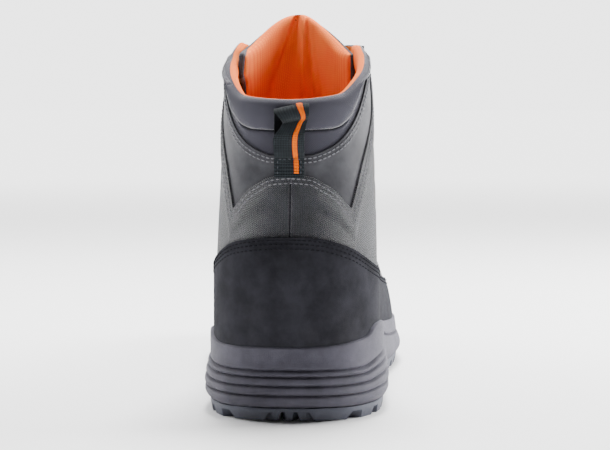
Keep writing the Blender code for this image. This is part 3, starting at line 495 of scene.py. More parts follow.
# %% [markdown]
# ## Cutting a panel
#
# A bootmaker cuts a panel flat and lasts it: wets it and pulls it over the last. Here the flat panel is a
# primitive grid. A function says where each point of the pattern lies on the last, the grid's points are
# moved there, and modifiers give the panel its thickness and rounded edges. The grid's UV map is scaled to
# metres, so that a weave keeps its size on every panel.

# %% Helpers for panels
def deselect():
    if bpy.context.object and bpy.context.object.mode != "OBJECT":
        bpy.ops.object.mode_set(mode="OBJECT")
    bpy.ops.object.select_all(action="DESELECT")


def activate(piece):
    deselect()
    piece.select_set(True)
    bpy.context.view_layer.objects.active = piece


def smooth(piece, degrees):
    """Shades a piece smooth where its faces meet at less than an angle."""
    activate(piece)
    bpy.ops.object.shade_smooth_by_angle(angle=math.radians(degrees))


def on_all(piece, operator, **settings):
    """Runs an operator of edit mode on the whole of a piece."""
    activate(piece)
    bpy.ops.object.mode_set(mode="EDIT")
    bpy.ops.mesh.select_all(action="SELECT")
    operator(**settings)
    bpy.ops.object.mode_set(mode="OBJECT")


def flat_grid(name, columns, rows):
    """A flat grid of cells, with each point's place in the pattern from 0 to 1, as two arrays."""
    deselect()
    bpy.ops.mesh.primitive_grid_add(x_subdivisions=columns, y_subdivisions=rows, size=1.0)
    piece = bpy.context.object
    piece.name = piece.data.name = name
    flat = np.zeros(len(piece.data.vertices) * 3)
    piece.data.vertices.foreach_get("co", flat)
    flat = flat.reshape(-1, 3)
    return piece, flat[:, 0] + 0.5, flat[:, 1] + 0.5


def lay(piece, points, size, materials, merge=True):
    """Moves the grid's points to their places, scales its UV map and gives it its materials."""
    piece.data.vertices.foreach_set("co", np.asarray(points, float).ravel())
    uv = piece.data.uv_layers.active.data
    flat = np.zeros(len(uv) * 2)
    uv.foreach_get("uv", flat)
    uv.foreach_set("uv", (flat.reshape(-1, 2) * size).ravel())
    for finish in materials:
        piece.data.materials.append(finish)
    if merge:
        on_all(piece, bpy.ops.mesh.remove_doubles, threshold=1e-5)
        on_all(piece, bpy.ops.mesh.dissolve_degenerate, threshold=1e-6)
    activate(piece)
    bpy.ops.object.shade_smooth()
    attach(piece, "root")


def modify(piece, kind, **settings):
    """Adds a modifier and applies it."""
    activate(piece)
    made = piece.modifiers.new(kind.lower(), kind)
    for key, value in settings.items():
        setattr(made, key, value)
    bpy.ops.object.modifier_apply(modifier=made.name)


def round_edges(piece, width, degrees):
    """Bevels the edges at which a piece turns by more than an angle."""
    modify(piece, "BEVEL", width=width, segments=2, limit_method="ANGLE", angle_limit=math.radians(degrees))


def thicken(piece, thickness, bevel=0.3 * MM, inner=0, even=True):
    """Gives a panel its thickness, inwards from its outer side, and a rounded edge."""
    modify(piece, "SOLIDIFY", thickness=thickness, offset=-1.0, material_offset=inner, use_even_offset=even)
    if bevel:
        round_edges(piece, bevel, 50)
    smooth(piece, 45)


def report(piece):
    triangles = sum(len(p.vertices) - 2 for p in piece.data.polygons)
    print(piece.name, triangles, "triangles")


# %% [markdown]
# ## The shell
#
# The shell is the boot's body, cloth outside and lining inside, closed over the toe and open at the
# throat and the collar. Its pattern's columns run round the last. Above the throat they stop at the
# throat's edge, so the two ends of the grid part there, and below it they meet and are merged.

# %% Make the shell
BALL_CREASES = ((0.590, 0.55, 0.010), (0.640, 0.70, -0.006), (0.690, 0.45, 0.012))  # share, depth, slant
ANKLE_CREASES = ((0.098, 0.6), (0.110, 0.45))  # height, depth in mm


def wear(turn, z):
    """Soft troughs and ridges where the foot bends the boot, as a distance out."""
    points = last_point(turn, z)
    along = share(points[..., 1])
    high = ease((z - bed(points[..., 1]) - 12 * MM) / (22 * MM))
    bend = np.zeros(np.shape(along))
    for middle, depth, slant in BALL_CREASES:
        line = middle + slant * np.sin(points[..., 0] * 90)
        bend -= depth * np.exp(-((along - line) / 0.011) ** 2) - 0.4 * depth * np.exp(
            -((along - line - 0.022) / 0.012) ** 2)
    ankle = np.zeros(np.shape(along))
    for height, depth in ANKLE_CREASES:
        slope = height + 0.010 * (np.abs(turn) - 0.5) / 0.2
        ankle -= depth * np.exp(-((z - slope) / (3.2 * MM)) ** 2)
    ankle *= np.exp(-((np.abs(turn) - 0.50) / 0.10) ** 2)
    return MM * (bend * high + ankle)


def lasted(turn, z, out):
    """A place on a piece of the upper, with the boot's creases."""
    return on_last(turn, z, out + wear(turn, z))


SIDE = 14 / 24  # the share of the pattern's half width up to which turns are even
SPLIT = 0.42  # the share of its height at which the throat opens
WAY_ROUND = 0.62  # the way round the last in metres, for the UV maps


def shell_place(u, v):
    """Turn and height of the shell's pattern, u across from -1 to 1 and v up from 0 to 1."""
    side = np.minimum(np.abs(u), SIDE)
    beyond = np.clip((np.abs(u) - SIDE) / (1 - SIDE), 0, 1)
    low = place_of(u, bed)[1] + GAP
    z_closed = low + (THROAT_Z - low) * np.minimum(v / SPLIT, 1)
    open_share = np.clip((v - SPLIT) / (1 - SPLIT), 0, 1)
    z_guess = THROAT_Z + (TIP_Z - THROAT_Z) * open_share
    edge = np.where(v <= SPLIT, 1.0, behind_throat(z_guess, np.zeros(np.shape(v))))
    turn = np.sign(u) * (side + (edge - SIDE) * beyond)
    top = collar_top(turn) - 1.0 * MM * (1 - ease((np.abs(turn) - 0.45) / 0.1))
    z = np.where(v <= SPLIT, z_closed, THROAT_Z + (top - THROAT_Z) * open_share)
    return turn, z


def material(name, colour, roughness, metallic=0.0):
    """A plain start for a finish, which a later cell completes."""
    made = bpy.data.materials.new(name)
    made.use_nodes = True
    shader = made.node_tree.nodes["Principled BSDF"]
    shader.inputs["Base Color"].default_value = (*colour, 1)
    shader.inputs["Roughness"].default_value = roughness
    shader.inputs["Metallic"].default_value = metallic
    return made


woven_cloth = material("woven_cloth", (0.068, 0.072, 0.080), 0.8)
lining_cloth = material("lining_cloth", (0.80, 0.13, 0.02), 0.9)
wrap_nubuck = material("wrap_nubuck", (0.090, 0.092, 0.100), 0.55)
rand_nubuck = material("rand_nubuck", (0.020, 0.020, 0.024), 0.7)
cuff_cloth = material("cuff_cloth", (0.11, 0.105, 0.13), 0.8)
midsole_foam = material("midsole_foam", (0.09, 0.088, 0.11), 0.8)
outsole_rubber = material("outsole_rubber", (0.028, 0.029, 0.036), 0.7)
webbing = material("webbing", (0.027, 0.034, 0.036), 0.8)
# The strap's back face is near black: painted shade for the dark gap behind the loop's outer layer.
strap_back_painted_shade = material("strap_back_painted_shade", (0.006, 0.006, 0.008), 0.9)
stripe_web = material("stripe_web", (0.85, 0.25, 0.02), 0.8)
thread = material("thread", (0.34, 0.34, 0.37), 0.7)
dark_thread = material("dark_thread", (0.055, 0.055, 0.062), 0.9)
strap_thread = material("strap_thread", (0.055, 0.060, 0.065), 0.9)
lace_cord = material("lace_cord", (0.03, 0.03, 0.034), 0.85)
eyelet_metal = material("eyelet_metal", (0.10, 0.10, 0.11), 0.35, 0.9)
binding = material("binding", (0.045, 0.045, 0.052), 0.8)

shell, u, v = flat_grid("shell", 220, 72)
shell_turn, shell_z = shell_place(2 * u - 1, v)
lay(shell, lasted(shell_turn, shell_z, 0.0), (WAY_ROUND, 0.13),
    [woven_cloth, lining_cloth])
thicken(shell, WALL, bevel=0.8 * MM, inner=1, even=False)
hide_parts("upper")
report(shell)

# %% [markdown]
# ## Overlays
#
# The panels lie on the shell in the order in which they are sewn: the wrap first, the cuff's band under
# its top edge, the woven quarter over the wrap, and the black rand over all, down to the sole.
# Each panel is given by two lines for its edges and by how far out its outer side lies. Close to a row of
# stitches the panel is drawn in a little.

# %% Cut a panel between two lines
WRAP_OUT, QUARTER_OUT, RAND_OUT, STAY_OUT = 1.15 * MM, 1.75 * MM, 2.45 * MM, 2.55 * MM
STITCH_ROWS = (1.6 * MM, 3.5 * MM)  # from a panel's edge


def pull_in(distance):
    """How far stitching draws a panel in, at a distance from its edge."""
    return 0.22 * MM * sum(np.exp(-((distance - row) / (0.8 * MM)) ** 2) for row in STITCH_ROWS)


def make_panel(name, finish, span, low, high, out, columns, rows, thickness):
    """A panel over turns in span, between two lines, with its outer side where the function out says."""
    piece, u, v = flat_grid(name, columns, rows)
    turn = span[0] + (span[1] - span[0]) * u
    low_z, high_z = low(turn), high(turn)
    z = low_z + (high_z - low_z) * v
    lift = out(turn, z) - pull_in(high_z - z)
    width = WAY_ROUND * (span[1] - span[0]) / 2
    lay(piece, lasted(turn, z, lift), (width, float(np.mean(high_z - low_z))), [finish])
    thicken(piece, thickness)
    report(piece)
    return piece


def wrap_low(turn):
    return quarter_edge(turn) - 9 * MM


def wrap_high(turn):
    return np.minimum(cuff_edge(turn), rim(turn) - 0.5 * MM)


def wrap_out(turn, z):
    """Over the cuff's band near the wrap's own top edge, and lower below."""
    above = z - wrap_high(turn) + 8 * MM
    return WRAP_OUT + 0.95 * MM * ease(above / (6 * MM))


wrap = make_panel("ankle_wrap_panel", wrap_nubuck, (-0.60, 0.60), wrap_low, wrap_high,
                  wrap_out, 260, 34, thickness=0.9 * MM)
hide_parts("ankle_wrap")


RAND_WAVES = ((1.6, -0.15, 0.06), (-3.0, 0.23, 0.07), (3.6, 0.53, 0.065))  # height in mm, turn, reach


def rand_line(turn):
    """The rand's upper edge. On the outer side of the heel it drops sooner than on the inner one."""
    uneven = sum(rise * np.exp(-((turn - middle) / reach) ** 2) for rise, middle, reach in RAND_WAVES)
    return place_of(turn, lambda y: RAND_TOP(share(y)))[1] + uneven * MM


def quarter_low(turn):
    return rand_line(turn) - 8 * MM


def quarter_out(turn, z):
    """Over the wrap near its own edge, and down on the shell below."""
    below = quarter_edge(turn) - 9 * MM - z
    seam = 0.55 * MM * np.exp(-(turn / 0.0022) ** 2)
    return QUARTER_OUT + 0.3 * MM - 0.9 * MM * ease(below / (7 * MM)) - seam


make_panel("woven_quarter", woven_cloth, (-0.62, 0.62), quarter_low, quarter_edge,
           quarter_out, 620, 44, thickness=0.8 * MM)

# %% [markdown]
# ## The rand
#
# A band of black nubuck, rubbered inside, runs right round the boot over the sole's rim. Behind it is the
# heel counter, in front it rises to the toe cap. Its pattern is a ring, so the grid's ends are merged.

# %% Make the rand
def rand_low(turn):
    """The rand's lower edge, hidden under the midsole's rim."""
    return place_of(turn, wall_top)[1] + (np.minimum(OUTER_TOP(turn), 0) - 2.5) * MM


rand, u, v = flat_grid("rubbered_rand", 300, 26)
turn = 2 * u - 1
high_z = rand_line(turn)
z = rand_low(turn) + (high_z - rand_low(turn)) * v
lay(rand, lasted(turn, z, RAND_OUT - pull_in(high_z - z)), (0.75, 0.045), [rand_nubuck])
thicken(rand, 1.0 * MM)
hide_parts("rand")
report(rand)

# %% [markdown]
# ## The midsole
#
# The midsole is a moulded cup of foam. Its side is drawn as levels from the lower edge to the rim, each a
# ring round the last: a deep plain band at the top, then four swelling ribs between grooves. The ribs run
# round the heel and die out at the waist. The rim rolls over to the upper, and the cup inside is closed.

# %% Make the midsole
SIDE_PROFILE = smooth_curve([
    (0.00, FOOT_OUT), (0.12, BELLY_OUT * 0.97), (0.22, BELLY_OUT), (0.40, BELLY_OUT * 0.90),
    (0.60, 0.6 * RIM_OUT + 0.4 * BELLY_OUT), (1.00, RIM_OUT),
])
GROOVES = (0.197, 0.352, 0.497, 0.603)
GROOVE_HALF = 0.6 * MM
GROOVE_STEPS = (-0.036, -0.024, -0.012, 0.0, 0.012, 0.024, 0.036)  # the levels drawn about a groove
SHEET = 2.8 * MM  # from the lugs to the midsole's lower edge
BAND_FROM, ROLL_FROM = 0.62, 0.955  # the levels from which the side follows OUTER_TOP, and rolls over
RIBS_END = 0.36  # the share of the length by which the ribs have died out
RIM_LOBE = 3.6 * MM  # how far the rim rises on the outer side of the heel


def sole_side(turn, level):
    """A point of the midsole's side at a turn and a level, 0 at its lower edge and 1 at its rim."""
    plan = feather(turn)
    y = plan[..., 1]
    low = LIFT(share(y)) + LUG + SHEET
    lobe = RIM_LOBE * ease((turn - 0.13) / 0.07) * (1 - ease((turn - 0.22) / 0.10))
    span = wall_top(y) + lobe - low
    height = low + span * level + OUTER_TOP(turn) * MM * ease((level - BAND_FROM) / (1 - BAND_FROM))
    fade = ease((RIBS_END - share(y)) / 0.05)
    notch = np.zeros(np.shape(y))
    bulge = np.zeros(np.shape(y))
    edges = (0.0,) + GROOVES
    for below, above in zip(edges, GROOVES):
        inside = np.clip((level - below) / (above - below), 0, 1)
        bulge = np.maximum(bulge, np.sin(math.pi * inside) ** 0.7 * (0 <= inside) * (inside < 1))
    for groove in GROOVES:
        stays = 1.0 if groove == GROOVES[-1] else fade
        distance = np.abs(span * (level - groove))
        notch = np.maximum(notch, stays * np.exp(-(distance / GROOVE_HALF) ** 2))
    roll = 1.3 * MM * np.clip((level - ROLL_FROM) / (1 - ROLL_FROM), 0, 1) ** 2.2
    out = SIDE_PROFILE(level) + 0.55 * MM * bulge * fade - 1.25 * MM * notch - roll
    at_height = place_of(turn, bed)[1]
    upper = last_point(turn, np.maximum(height, at_height))
    drift = np.linalg.norm((upper - plan)[..., :2], axis=-1)
    sign = np.sign(np.sum((upper - plan)[..., :2] * (feather(turn, 1.0) - plan)[..., :2], axis=-1))
    point = feather(turn, out + np.maximum(drift * sign, 0))
    point[..., 2] = height
    return point


def ladder(piece, ring):
    """Closes a ring that starts at the toe with rungs from side to side."""
    work = bmesh.new()
    work.from_mesh(piece.data)
    work.verts.ensure_lookup_table()
    count = len(ring)
    for i in range(count // 2):
        corners = [ring[i], ring[i + 1], ring[(count - i - 1) % count], ring[(count - i) % count]]
        corners = list(dict.fromkeys(corners))
        if len(corners) > 2:
            work.faces.new([work.verts[c] for c in corners])
    bmesh.ops.recalc_face_normals(work, faces=work.faces)
    work.to_mesh(piece.data)
    work.free()


def side_levels():
    levels = list(np.linspace(0, 1, 40)) + [0.965, 0.985]
    levels += [groove + step for groove in GROOVES for step in GROOVE_STEPS]
    return np.unique(np.round(levels, 4))


LEVELS = side_levels()
RING = 240
deselect()
bpy.ops.mesh.primitive_circle_add(vertices=RING, radius=0.05, fill_type="NOTHING")
midsole = bpy.context.object
midsole.name = midsole.data.name = "midsole_cup"
bpy.ops.object.mode_set(mode="EDIT")
for _ in range(len(LEVELS) + 2):
    bpy.ops.mesh.select_all(action="DESELECT")
    bpy.ops.object.mode_set(mode="OBJECT")
    count = len(midsole.data.vertices)
    for vertex in list(midsole.data.vertices)[count - RING:]:
        vertex.select = True
    bpy.ops.object.mode_set(mode="EDIT")
    bpy.ops.mesh.select_mode(type="VERT")
    bpy.ops.mesh.extrude_region_move(TRANSFORM_OT_translate={"value": (0, 0, 0.01)})
bpy.ops.object.mode_set(mode="OBJECT")
ring_turn = -1 + 2 * np.arange(RING) / RING
_, bed_z = place_of(ring_turn, bed)
rings = [sole_side(ring_turn, np.full(RING, level)) - ORIGIN for level in LEVELS]
top_z = rings[-1][:, 2]
rings += [on_last(ring_turn, z, 1.0 * MM) for z in (top_z, 0.5 * (top_z + bed_z), bed_z)]
midsole.data.vertices.foreach_set("co", np.concatenate(rings).ravel())
ladder(midsole, [len(midsole.data.vertices) - RING + i for i in range(RING)])
ladder(midsole, list(range(RING)))
midsole.data.materials.append(midsole_foam)
smooth(midsole, 60)
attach(midsole, "root")
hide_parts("midsole")
report(midsole)

# %% [markdown]
# ## Padded pieces
#
# A padded piece is two skins sewn together at their edge with foam between them. We cut both skins as
# grids, lay one on each side, swell them apart away from the edge, and merge the edges into one closed
# crowned form.

# %% Helper for padded pieces
def pillow(name, materials, columns, rows, outside, inside, size):
    """A closed form between two skins, each a function from the pattern's u and v to points."""
    skins = []
    for number, skin in enumerate((outside, inside)):
        piece, u, v = flat_grid(f"{name}_{number}", columns, rows)
        lay(piece, skin(u, v), size, materials, merge=False)
        for face in piece.data.polygons:
            face.material_index = number
        if number == 1:
            on_all(piece, bpy.ops.mesh.flip_normals)
        skins.append(piece)
    deselect()
    for piece in skins:
        piece.select_set(True)
    bpy.context.view_layer.objects.active = skins[0]
    bpy.ops.object.join()
    piece = bpy.context.object
    piece.name = piece.data.name = name
    on_all(piece, bpy.ops.mesh.remove_doubles, threshold=2e-5)
    on_all(piece, bpy.ops.mesh.normals_make_consistent, inside=False)
    bpy.ops.object.shade_smooth()
    report(piece)
    return piece


def crown(u, v, across, along):
    """How far a pad is swollen: 0 at its edge and 1 inside."""
    side = np.clip(np.minimum(u, 1 - u) / across, 0, 1)
    end = np.clip(np.minimum(v, 1 - v) / along, 0, 1)
    return np.sqrt(1 - (1 - side) ** 2) * np.sqrt(1 - (1 - end) ** 2)


# %% [markdown]
# ## The cuff
#
# The padded cuff is a thick roll round the back of the collar over a flat band. The band goes down under
# the wrap's edge. The roll rises from the seam, turns over the rim, and meets the lining inside. Its
# section is drawn as rows of a height and a distance out.

# %% Make the cuff
CUFF_SPAN = 0.635
CUFF_LINING = 0.675  # the share of the section at which the cuff's cloth meets the lining


def cuff_section(turn):
    """Rows of (height, distance out) from the band's hidden edge over the roll to its inner edge."""
    seam, top = cuff_seam(turn), collar_top(turn)
    low = np.minimum(cuff_edge(turn), seam - 2.2 * MM)
    fade = 1 - ease((np.abs(turn) - 0.28) / 0.22)
    end = 1 - ease((np.abs(turn) - 0.49) / 0.055)
    pad = 2.9 * MM * (0.40 + 0.60 * fade) * end
    flat = np.full(len(turn), 1.0 * MM) * end + 0.30 * MM * (1 - end)
    lip = np.where(turn < 0, 2.4, 0.4) * MM * ease((np.abs(turn) - 0.47) / 0.07)
    lip = lip * (1 - 0.7 * ease((np.abs(turn) - 0.575) / 0.06))
    rise = np.maximum(top - seam, 2.0 * MM)
    return [
        (low - 5 * MM, flat), (low, flat), (0.5 * (low + seam), flat), (seam - 1.2 * MM, flat + 0.1 * MM),
        (seam - 0.2 * MM, flat - 0.5 * MM), (seam + 0.05 * rise, flat + 0.45 * pad),
        (seam + 0.18 * rise, flat + 0.85 * pad), (seam + 0.42 * rise, flat + pad),
        (seam + 0.68 * rise, flat + 0.92 * pad), (top - 0.10 * rise, flat + 0.62 * pad),
        (top + 0.2 * MM + 0.6 * lip, flat), (top + 0.8 * MM + lip, flat - 1.9 * MM),
        (top + 0.2 * MM + 0.6 * lip, flat - 3.9 * MM),
        (top - 2.2 * MM, flat - 5.0 * MM - 0.8 * MM * fade),
        (top - 6.0 * MM, flat - 5.2 * MM - 0.8 * MM * fade),
        (top - 10.0 * MM, flat - 4.6 * MM), (top - 13.0 * MM, flat - 3.2 * MM),
    ]


def between(a, b, c, d, t):
    """The place at t of the way from b to c, on a smooth curve through four places."""
    return 0.5 * (2 * b + (c - a) * t + (2 * a - 5 * b + 4 * c - d) * t ** 2
                  + (3 * b - a - 3 * c + d) * t ** 3)


def through_rows(rows, v):
    """Heights and distances at a share of the way through the rows, on a smooth curve."""
    count = len(rows)
    at = v * (count - 1)
    i = np.clip(at.astype(int), 0, count - 2)
    table = np.array(rows)
    every = np.arange(len(v))

    def row(k):
        k = np.clip(k, 0, count - 1)
        return table[k, :, every]

    value = between(row(i - 1), row(i), row(i + 1), row(i + 2), (at - i)[:, None])
    return value[:, 0], value[:, 1]


def puckers(turn, v, strength):
    """Small gathers along a curved seam."""
    wave = np.sin(turn * 95 + 1.7 * np.sin(turn * 23)) * np.sin(turn * 41 + 0.8)
    return strength * wave * np.exp(-((v - 0.34) / 0.07) ** 2)


cuff, u, v = flat_grid("padded_cuff", 210, 64)
turn = (2 * u - 1) * CUFF_SPAN
z, out = through_rows(cuff_section(turn), v)
out = out + puckers(turn, v, 0.25 * MM)
for face in cuff.data.polygons:
    face.material_index = int(face.center[1] + 0.5 > CUFF_LINING)
lay(cuff, lasted(turn, z, out), (0.30, 0.055), [cuff_cloth, lining_cloth])
thicken(cuff, 0.6 * MM, bevel=0.0, even=False)
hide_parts("cuff")
report(cuff)

# %% [markdown]
# ## Facings and eyelets
#
# On each side of the throat a facing of the wrap's nubuck carries five eyelets. The facings follow the
# throat's edge, so their pattern is a height and a distance behind that edge. A small tab joins them at
# the bottom.

# %% Make the facings
def stay_width(z):
    return EYESTAY_WIDTH * (0.72 + 0.28 * ease((z - THROAT_Z) / (30 * MM)))


def make_facing(name, side):
    piece, u, v = flat_grid(name, 26, 110)
    z_low = THROAT_Z + 5.0 * MM
    z_guess = z_low + (TIP_Z - z_low) * v
    distance = u * stay_width(z_guess)
    turn = behind_throat(z_guess, distance)
    z = z_low + (rim(turn) + 0.2 * MM - z_low) * v
    lift = STAY_OUT - pull_in(stay_width(z_guess) - distance) - 0.6 * pull_in(distance)
    lift = lift - 0.8 * MM * (1 - ease(distance / (1.5 * MM))) ** 2
    lay(piece, lasted(side * turn, z, lift), (0.020, 0.125), [wrap_nubuck], merge=False)
    if side < 0:
        on_all(piece, bpy.ops.mesh.flip_normals)
    return piece


def faces_outward(piece):
    """Turns a sheet's faces to look away from the inside of the boot."""
    normals = np.zeros(len(piece.data.polygons) * 3)
    centres = np.zeros(len(piece.data.polygons) * 3)
    piece.data.polygons.foreach_get("normal", normals)
    piece.data.polygons.foreach_get("center", centres)
    normals, centres = normals.reshape(-1, 3), centres.reshape(-1, 3)
    inside = np.stack([np.full(len(centres), 0.002), centres[:, 1] * 0.9 - 0.01,
                       np.full(len(centres), 0.06)], 1)
    looked_out = np.sum(normals * (centres - inside)) >= 0
    if not looked_out:
        on_all(piece, bpy.ops.mesh.flip_normals)
    return bool(looked_out)


for side_name, side in (("outer", 1), ("inner", -1)):
    facing = make_facing(f"facing_{side_name}", side)
    print(facing.name, "looked outwards:", faces_outward(facing))
    thicken(facing, 2.3 * MM, even=False)
    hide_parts(f"eyestay_{side_name}")
    report(facing)

tab, u, v = flat_grid("throat_tab", 60, 24)
span = 1 - float(behind_throat(np.array(THROAT_Z + 5 * MM), 13 * MM))
turn = 1 + (2 * u - 1) * span
z_high = THROAT_Z + 2.5 * MM - 3 * MM * (1 - np.abs(2 * u - 1)) + 6 * MM * np.abs(2 * u - 1) ** 2
z_low = THROAT_Z - 13 * MM + 10 * MM * np.abs(2 * u - 1) ** 2.5
z = z_low + (z_high - z_low) * v
lift = 1.2 * MM + 1.9 * MM * ease((v - 0.40) / 0.35)
lay(tab, lasted(turn, z, lift), (0.05, 0.016), [wrap_nubuck])
faces_outward(tab)
thicken(tab, 1.2 * MM, even=False)
report(tab)


# %% Spin one eyelet and copy it to its places
def eyelet_places():
    """The turn and the height of the eyelets' middles on the outer side, from the bottom pair up."""
    heights = np.linspace(THROAT_Z + EYELET_END, TIP_Z - EYELET_END, 5)
    return [(float(behind_throat(np.array(z), EYELET_INSET)), z) for z in heights]


def frame_at(turn, z, out):
    """A matrix that sets a piece modelled flat at the origin on the last, its +Z outwards."""
    place = lasted(np.array([turn]), np.array([z]), np.array([out]))[0]
    normal = outward(np.array([turn]), np.array([z]))[0]
    first = np.cross((0, 0, 1), normal)
    first /= np.linalg.norm(first)
    second = np.cross(normal, first)
    rows = np.eye(4)
    rows[:3, 0], rows[:3, 1], rows[:3, 2], rows[:3, 3] = first, second, normal, place
    return rows


EYELET_SECTION = (  # radius and height in mm
    (2.1, -1.6), (2.1, 0.35), (2.35, 0.75), (2.9, 0.95), (3.6, 0.85), (4.15, 0.45), (4.25, 0.0),
    (3.9, -0.05), (2.7, -0.05), (2.6, -1.6),
)


def eyelet_mesh():
    deselect()
    bpy.ops.mesh.primitive_circle_add(vertices=len(EYELET_SECTION), radius=0.001, fill_type="NOTHING")
    piece = bpy.context.object
    for vertex, (x, z) in zip(piece.data.vertices, EYELET_SECTION):
        vertex.co = (x * MM, 0, z * MM)
    on_all(piece, bpy.ops.mesh.spin, steps=28, angle=2 * math.pi, center=(0, 0, 0), axis=(0, 0, 1))
    on_all(piece, bpy.ops.mesh.remove_doubles, threshold=1e-6)
    on_all(piece, bpy.ops.mesh.normals_make_consistent, inside=False)
    piece.data.materials.append(eyelet_metal)
    smooth(piece, 50)
    return piece


pattern = eyelet_mesh()
for side_name, side in (("outer", 1), ("inner", -1)):
    for number, (turn_at, z_at) in enumerate(eyelet_places(), start=1):
        ring = bpy.data.objects.new(f"eyelet_ring_{side_name}_{number}", pattern.data.copy())
        bpy.context.scene.collection.objects.link(ring)
        from_flat = frame_at(side * turn_at, z_at, STAY_OUT)
        points = np.zeros(len(ring.data.vertices) * 3)
        ring.data.vertices.foreach_get("co", points)
        points = points.reshape(-1, 3) @ from_flat[:3, :3].T + from_flat[:3, 3]
        ring.data.vertices.foreach_set("co", points.ravel())
        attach(ring, "root")
        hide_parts(f"eyelet_{side_name}_{number}")
bpy.data.objects.remove(pattern)
print("10 eyelets set")

# %% [markdown]
# ## The tongue
#
# The tongue is padded, cloth outside and bright lining inside, and stands above the collar. From behind
# we look at its lining, which is folded down its length where the two flaps press it.

# %% Make the tongue
TONGUE_LOW = THROAT_Z - 9 * MM
TONGUE_IN = 6.0 * MM  # how deep the tongue's edge lies inside the last
TONGUE_FOOT = THROAT_Z + 22 * MM  # below it the tongue is plain cloth on both sides


def tongue_reach(z, width):
    """The turn from the front line at which the last is that wide at a height."""
    levels = np.linspace(z.min(), z.max(), 40)
    turns = np.linspace(1, 0.45, 300)
    widest = 0.65 * TONGUE_WIDTH
    columns = 20
    found = np.array([1 - np.interp(np.linspace(0, 1, columns + 1) * widest,
                                    width_reached(last_point(turns, level)), turns) for level in levels])
    row = np.interp(z, levels, np.arange(len(levels)))
    return look_up(found, row, np.clip(width / widest * columns, 0, columns))


def tongue_place(u, v):
    """Turn and height of the tongue's pattern. Its top edge falls away to both sides."""
    across = 2 * u - 1
    top = TONGUE_TOP - 19.5 * MM * np.abs(across) ** np.where(across > 0, 1.5, 2.7)
    z = TONGUE_LOW + (top - TONGUE_LOW) * v
    spread = np.where(across > 0, 1.22, 1.30) * TONGUE_WIDTH / 2
    wide = spread * (0.55 + 0.45 * ease(v * 2.2)) * np.abs(across)
    return 1 - np.sign(across) * tongue_reach(z, wide), z


def tongue_outside(u, v):
    turn, z = tongue_place(u, v)
    return lasted(turn, z, -TONGUE_IN + 2.1 * MM * crown(u, v, 0.14, 0.05))


def tongue_inside(u, v):
    turn, z = tongue_place(u, v)
    across = 2 * u - 1
    down = 1 - v
    valley = across + 0.10 + 1.55 * np.minimum(down, 0.45)
    fold = 5.6 * np.exp(-(valley / (0.10 + 0.30 * np.minimum(down, 0.5))) ** 2)
    fold -= 1.8 * np.exp(-((across - 0.03) / 0.055) ** 2)
    fold += 1.3 * np.exp(-((across - 0.10 - 0.55 * down) / 0.05) ** 2)
    fold += 0.8 * np.exp(-((across - 0.30 - 0.70 * down) / 0.08) ** 2)
    fold += 1.2 * np.exp(-((across + 0.45 + 0.9 * down) / 0.09) ** 2) * ease(down / 0.15)
    depth = (4.0 - fold) * (0.15 + 0.85 * ease((v - 0.16) / 0.22))  # thin at its foot, where it is sewn in
    return lasted(turn, z, -TONGUE_IN - depth * MM * crown(u, v, 0.10, 0.04))


tongue = pillow("padded_tongue", [woven_cloth, lining_cloth], 90, 120, tongue_outside,
                tongue_inside, (0.05, 0.14))
for face in tongue.data.polygons:
    if face.center.z < TONGUE_FOOT:
        face.material_index = 0
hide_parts("tongue")

# %% [markdown]
# ## The footbed
#
# The footbed lies on the sole inside, slightly cupped at the heel, and shows only from above.

# %% Make the footbed
def footbed_skin(to_face):
    """One skin of the footbed, which swells from its edge by a share of the whole height to its face."""
    def points(u, v):
        turn = 0.002 + 0.996 * v
        outer, inner = feather(turn, -(WALL + 1.0 * MM)), feather(-turn, -(WALL + 1.0 * MM))
        point = outer * u[:, None] + inner * (1 - u[:, None])
        cup = 3.0 * MM * np.abs(2 * u - 1) ** 3 * (1 - ease((share(point[:, 1]) - 0.15) / 0.3))
        rise = 0.35 + to_face * crown(u, v, 0.06, 0.02)
        point[:, 2] = bed(point[:, 1]) + 0.3 * MM + rise * (4.0 * MM + cup)
        return point - ORIGIN

    return points


footbed = pillow("footbed", [lining_cloth, lining_cloth], 40, 120, footbed_skin(0.65),
                 footbed_skin(-0.35), (0.08, 0.28))
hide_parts("insole")

# %% [markdown]
# ## The laces
#
# One round lace is crossed over the tongue from each eyelet to the next pair's other one. Each run of it
# comes out of one eyelet, arches over the throat and dips into the next. A tube is a grid too: its columns
# run round the cord and its rows along it.

# %% Make the laces
LACE_RADIUS = 1.75 * MM
LACE_STEP = 1.3 * MM
EYELET_DIP = -1.2 * MM  # where a cord ends inside an eyelet


def tube(name, path, radius, finish, around=12):
    """A round cord along a path of points, with its ends closed."""
    path = np.array(path)
    piece, u, v = flat_grid(name, around, len(path) - 1)
    along = np.gradient(path, axis=0)
    along /= np.linalg.norm(along, axis=1, keepdims=True)
    side = np.zeros(path.shape)
    side[0] = np.cross(along[0], (0.31, 0.2, 0.93))
    for i in range(len(path)):
        before = side[i - 1] if i else side[0]
        side[i] = before - along[i] * (before @ along[i])
        side[i] /= np.linalg.norm(side[i])
    up = np.cross(along, side)
    row = np.round(v * (len(path) - 1)).astype(int)
    angle = 2 * math.pi * u
    size = np.broadcast_to(radius, len(path))[row][:, None]
    points = path[row] + size * (np.cos(angle)[:, None] * side[row] + np.sin(angle)[:, None] * up[row])
    lay(piece, points, (2 * math.pi * float(np.mean(radius)), gone_along(path)[-1]), [finish])
    bpy.ops.object.mode_set(mode="EDIT")
    bpy.ops.mesh.select_mode(type="EDGE")
    bpy.ops.mesh.select_all(action="DESELECT")
    bpy.ops.mesh.select_non_manifold(extend=False, use_wire=False, use_multi_face=False,
                                     use_non_contiguous=False, use_verts=False)
    bpy.ops.mesh.edge_face_add()
    on_all(piece, bpy.ops.mesh.normals_make_consistent, inside=False)
    return piece


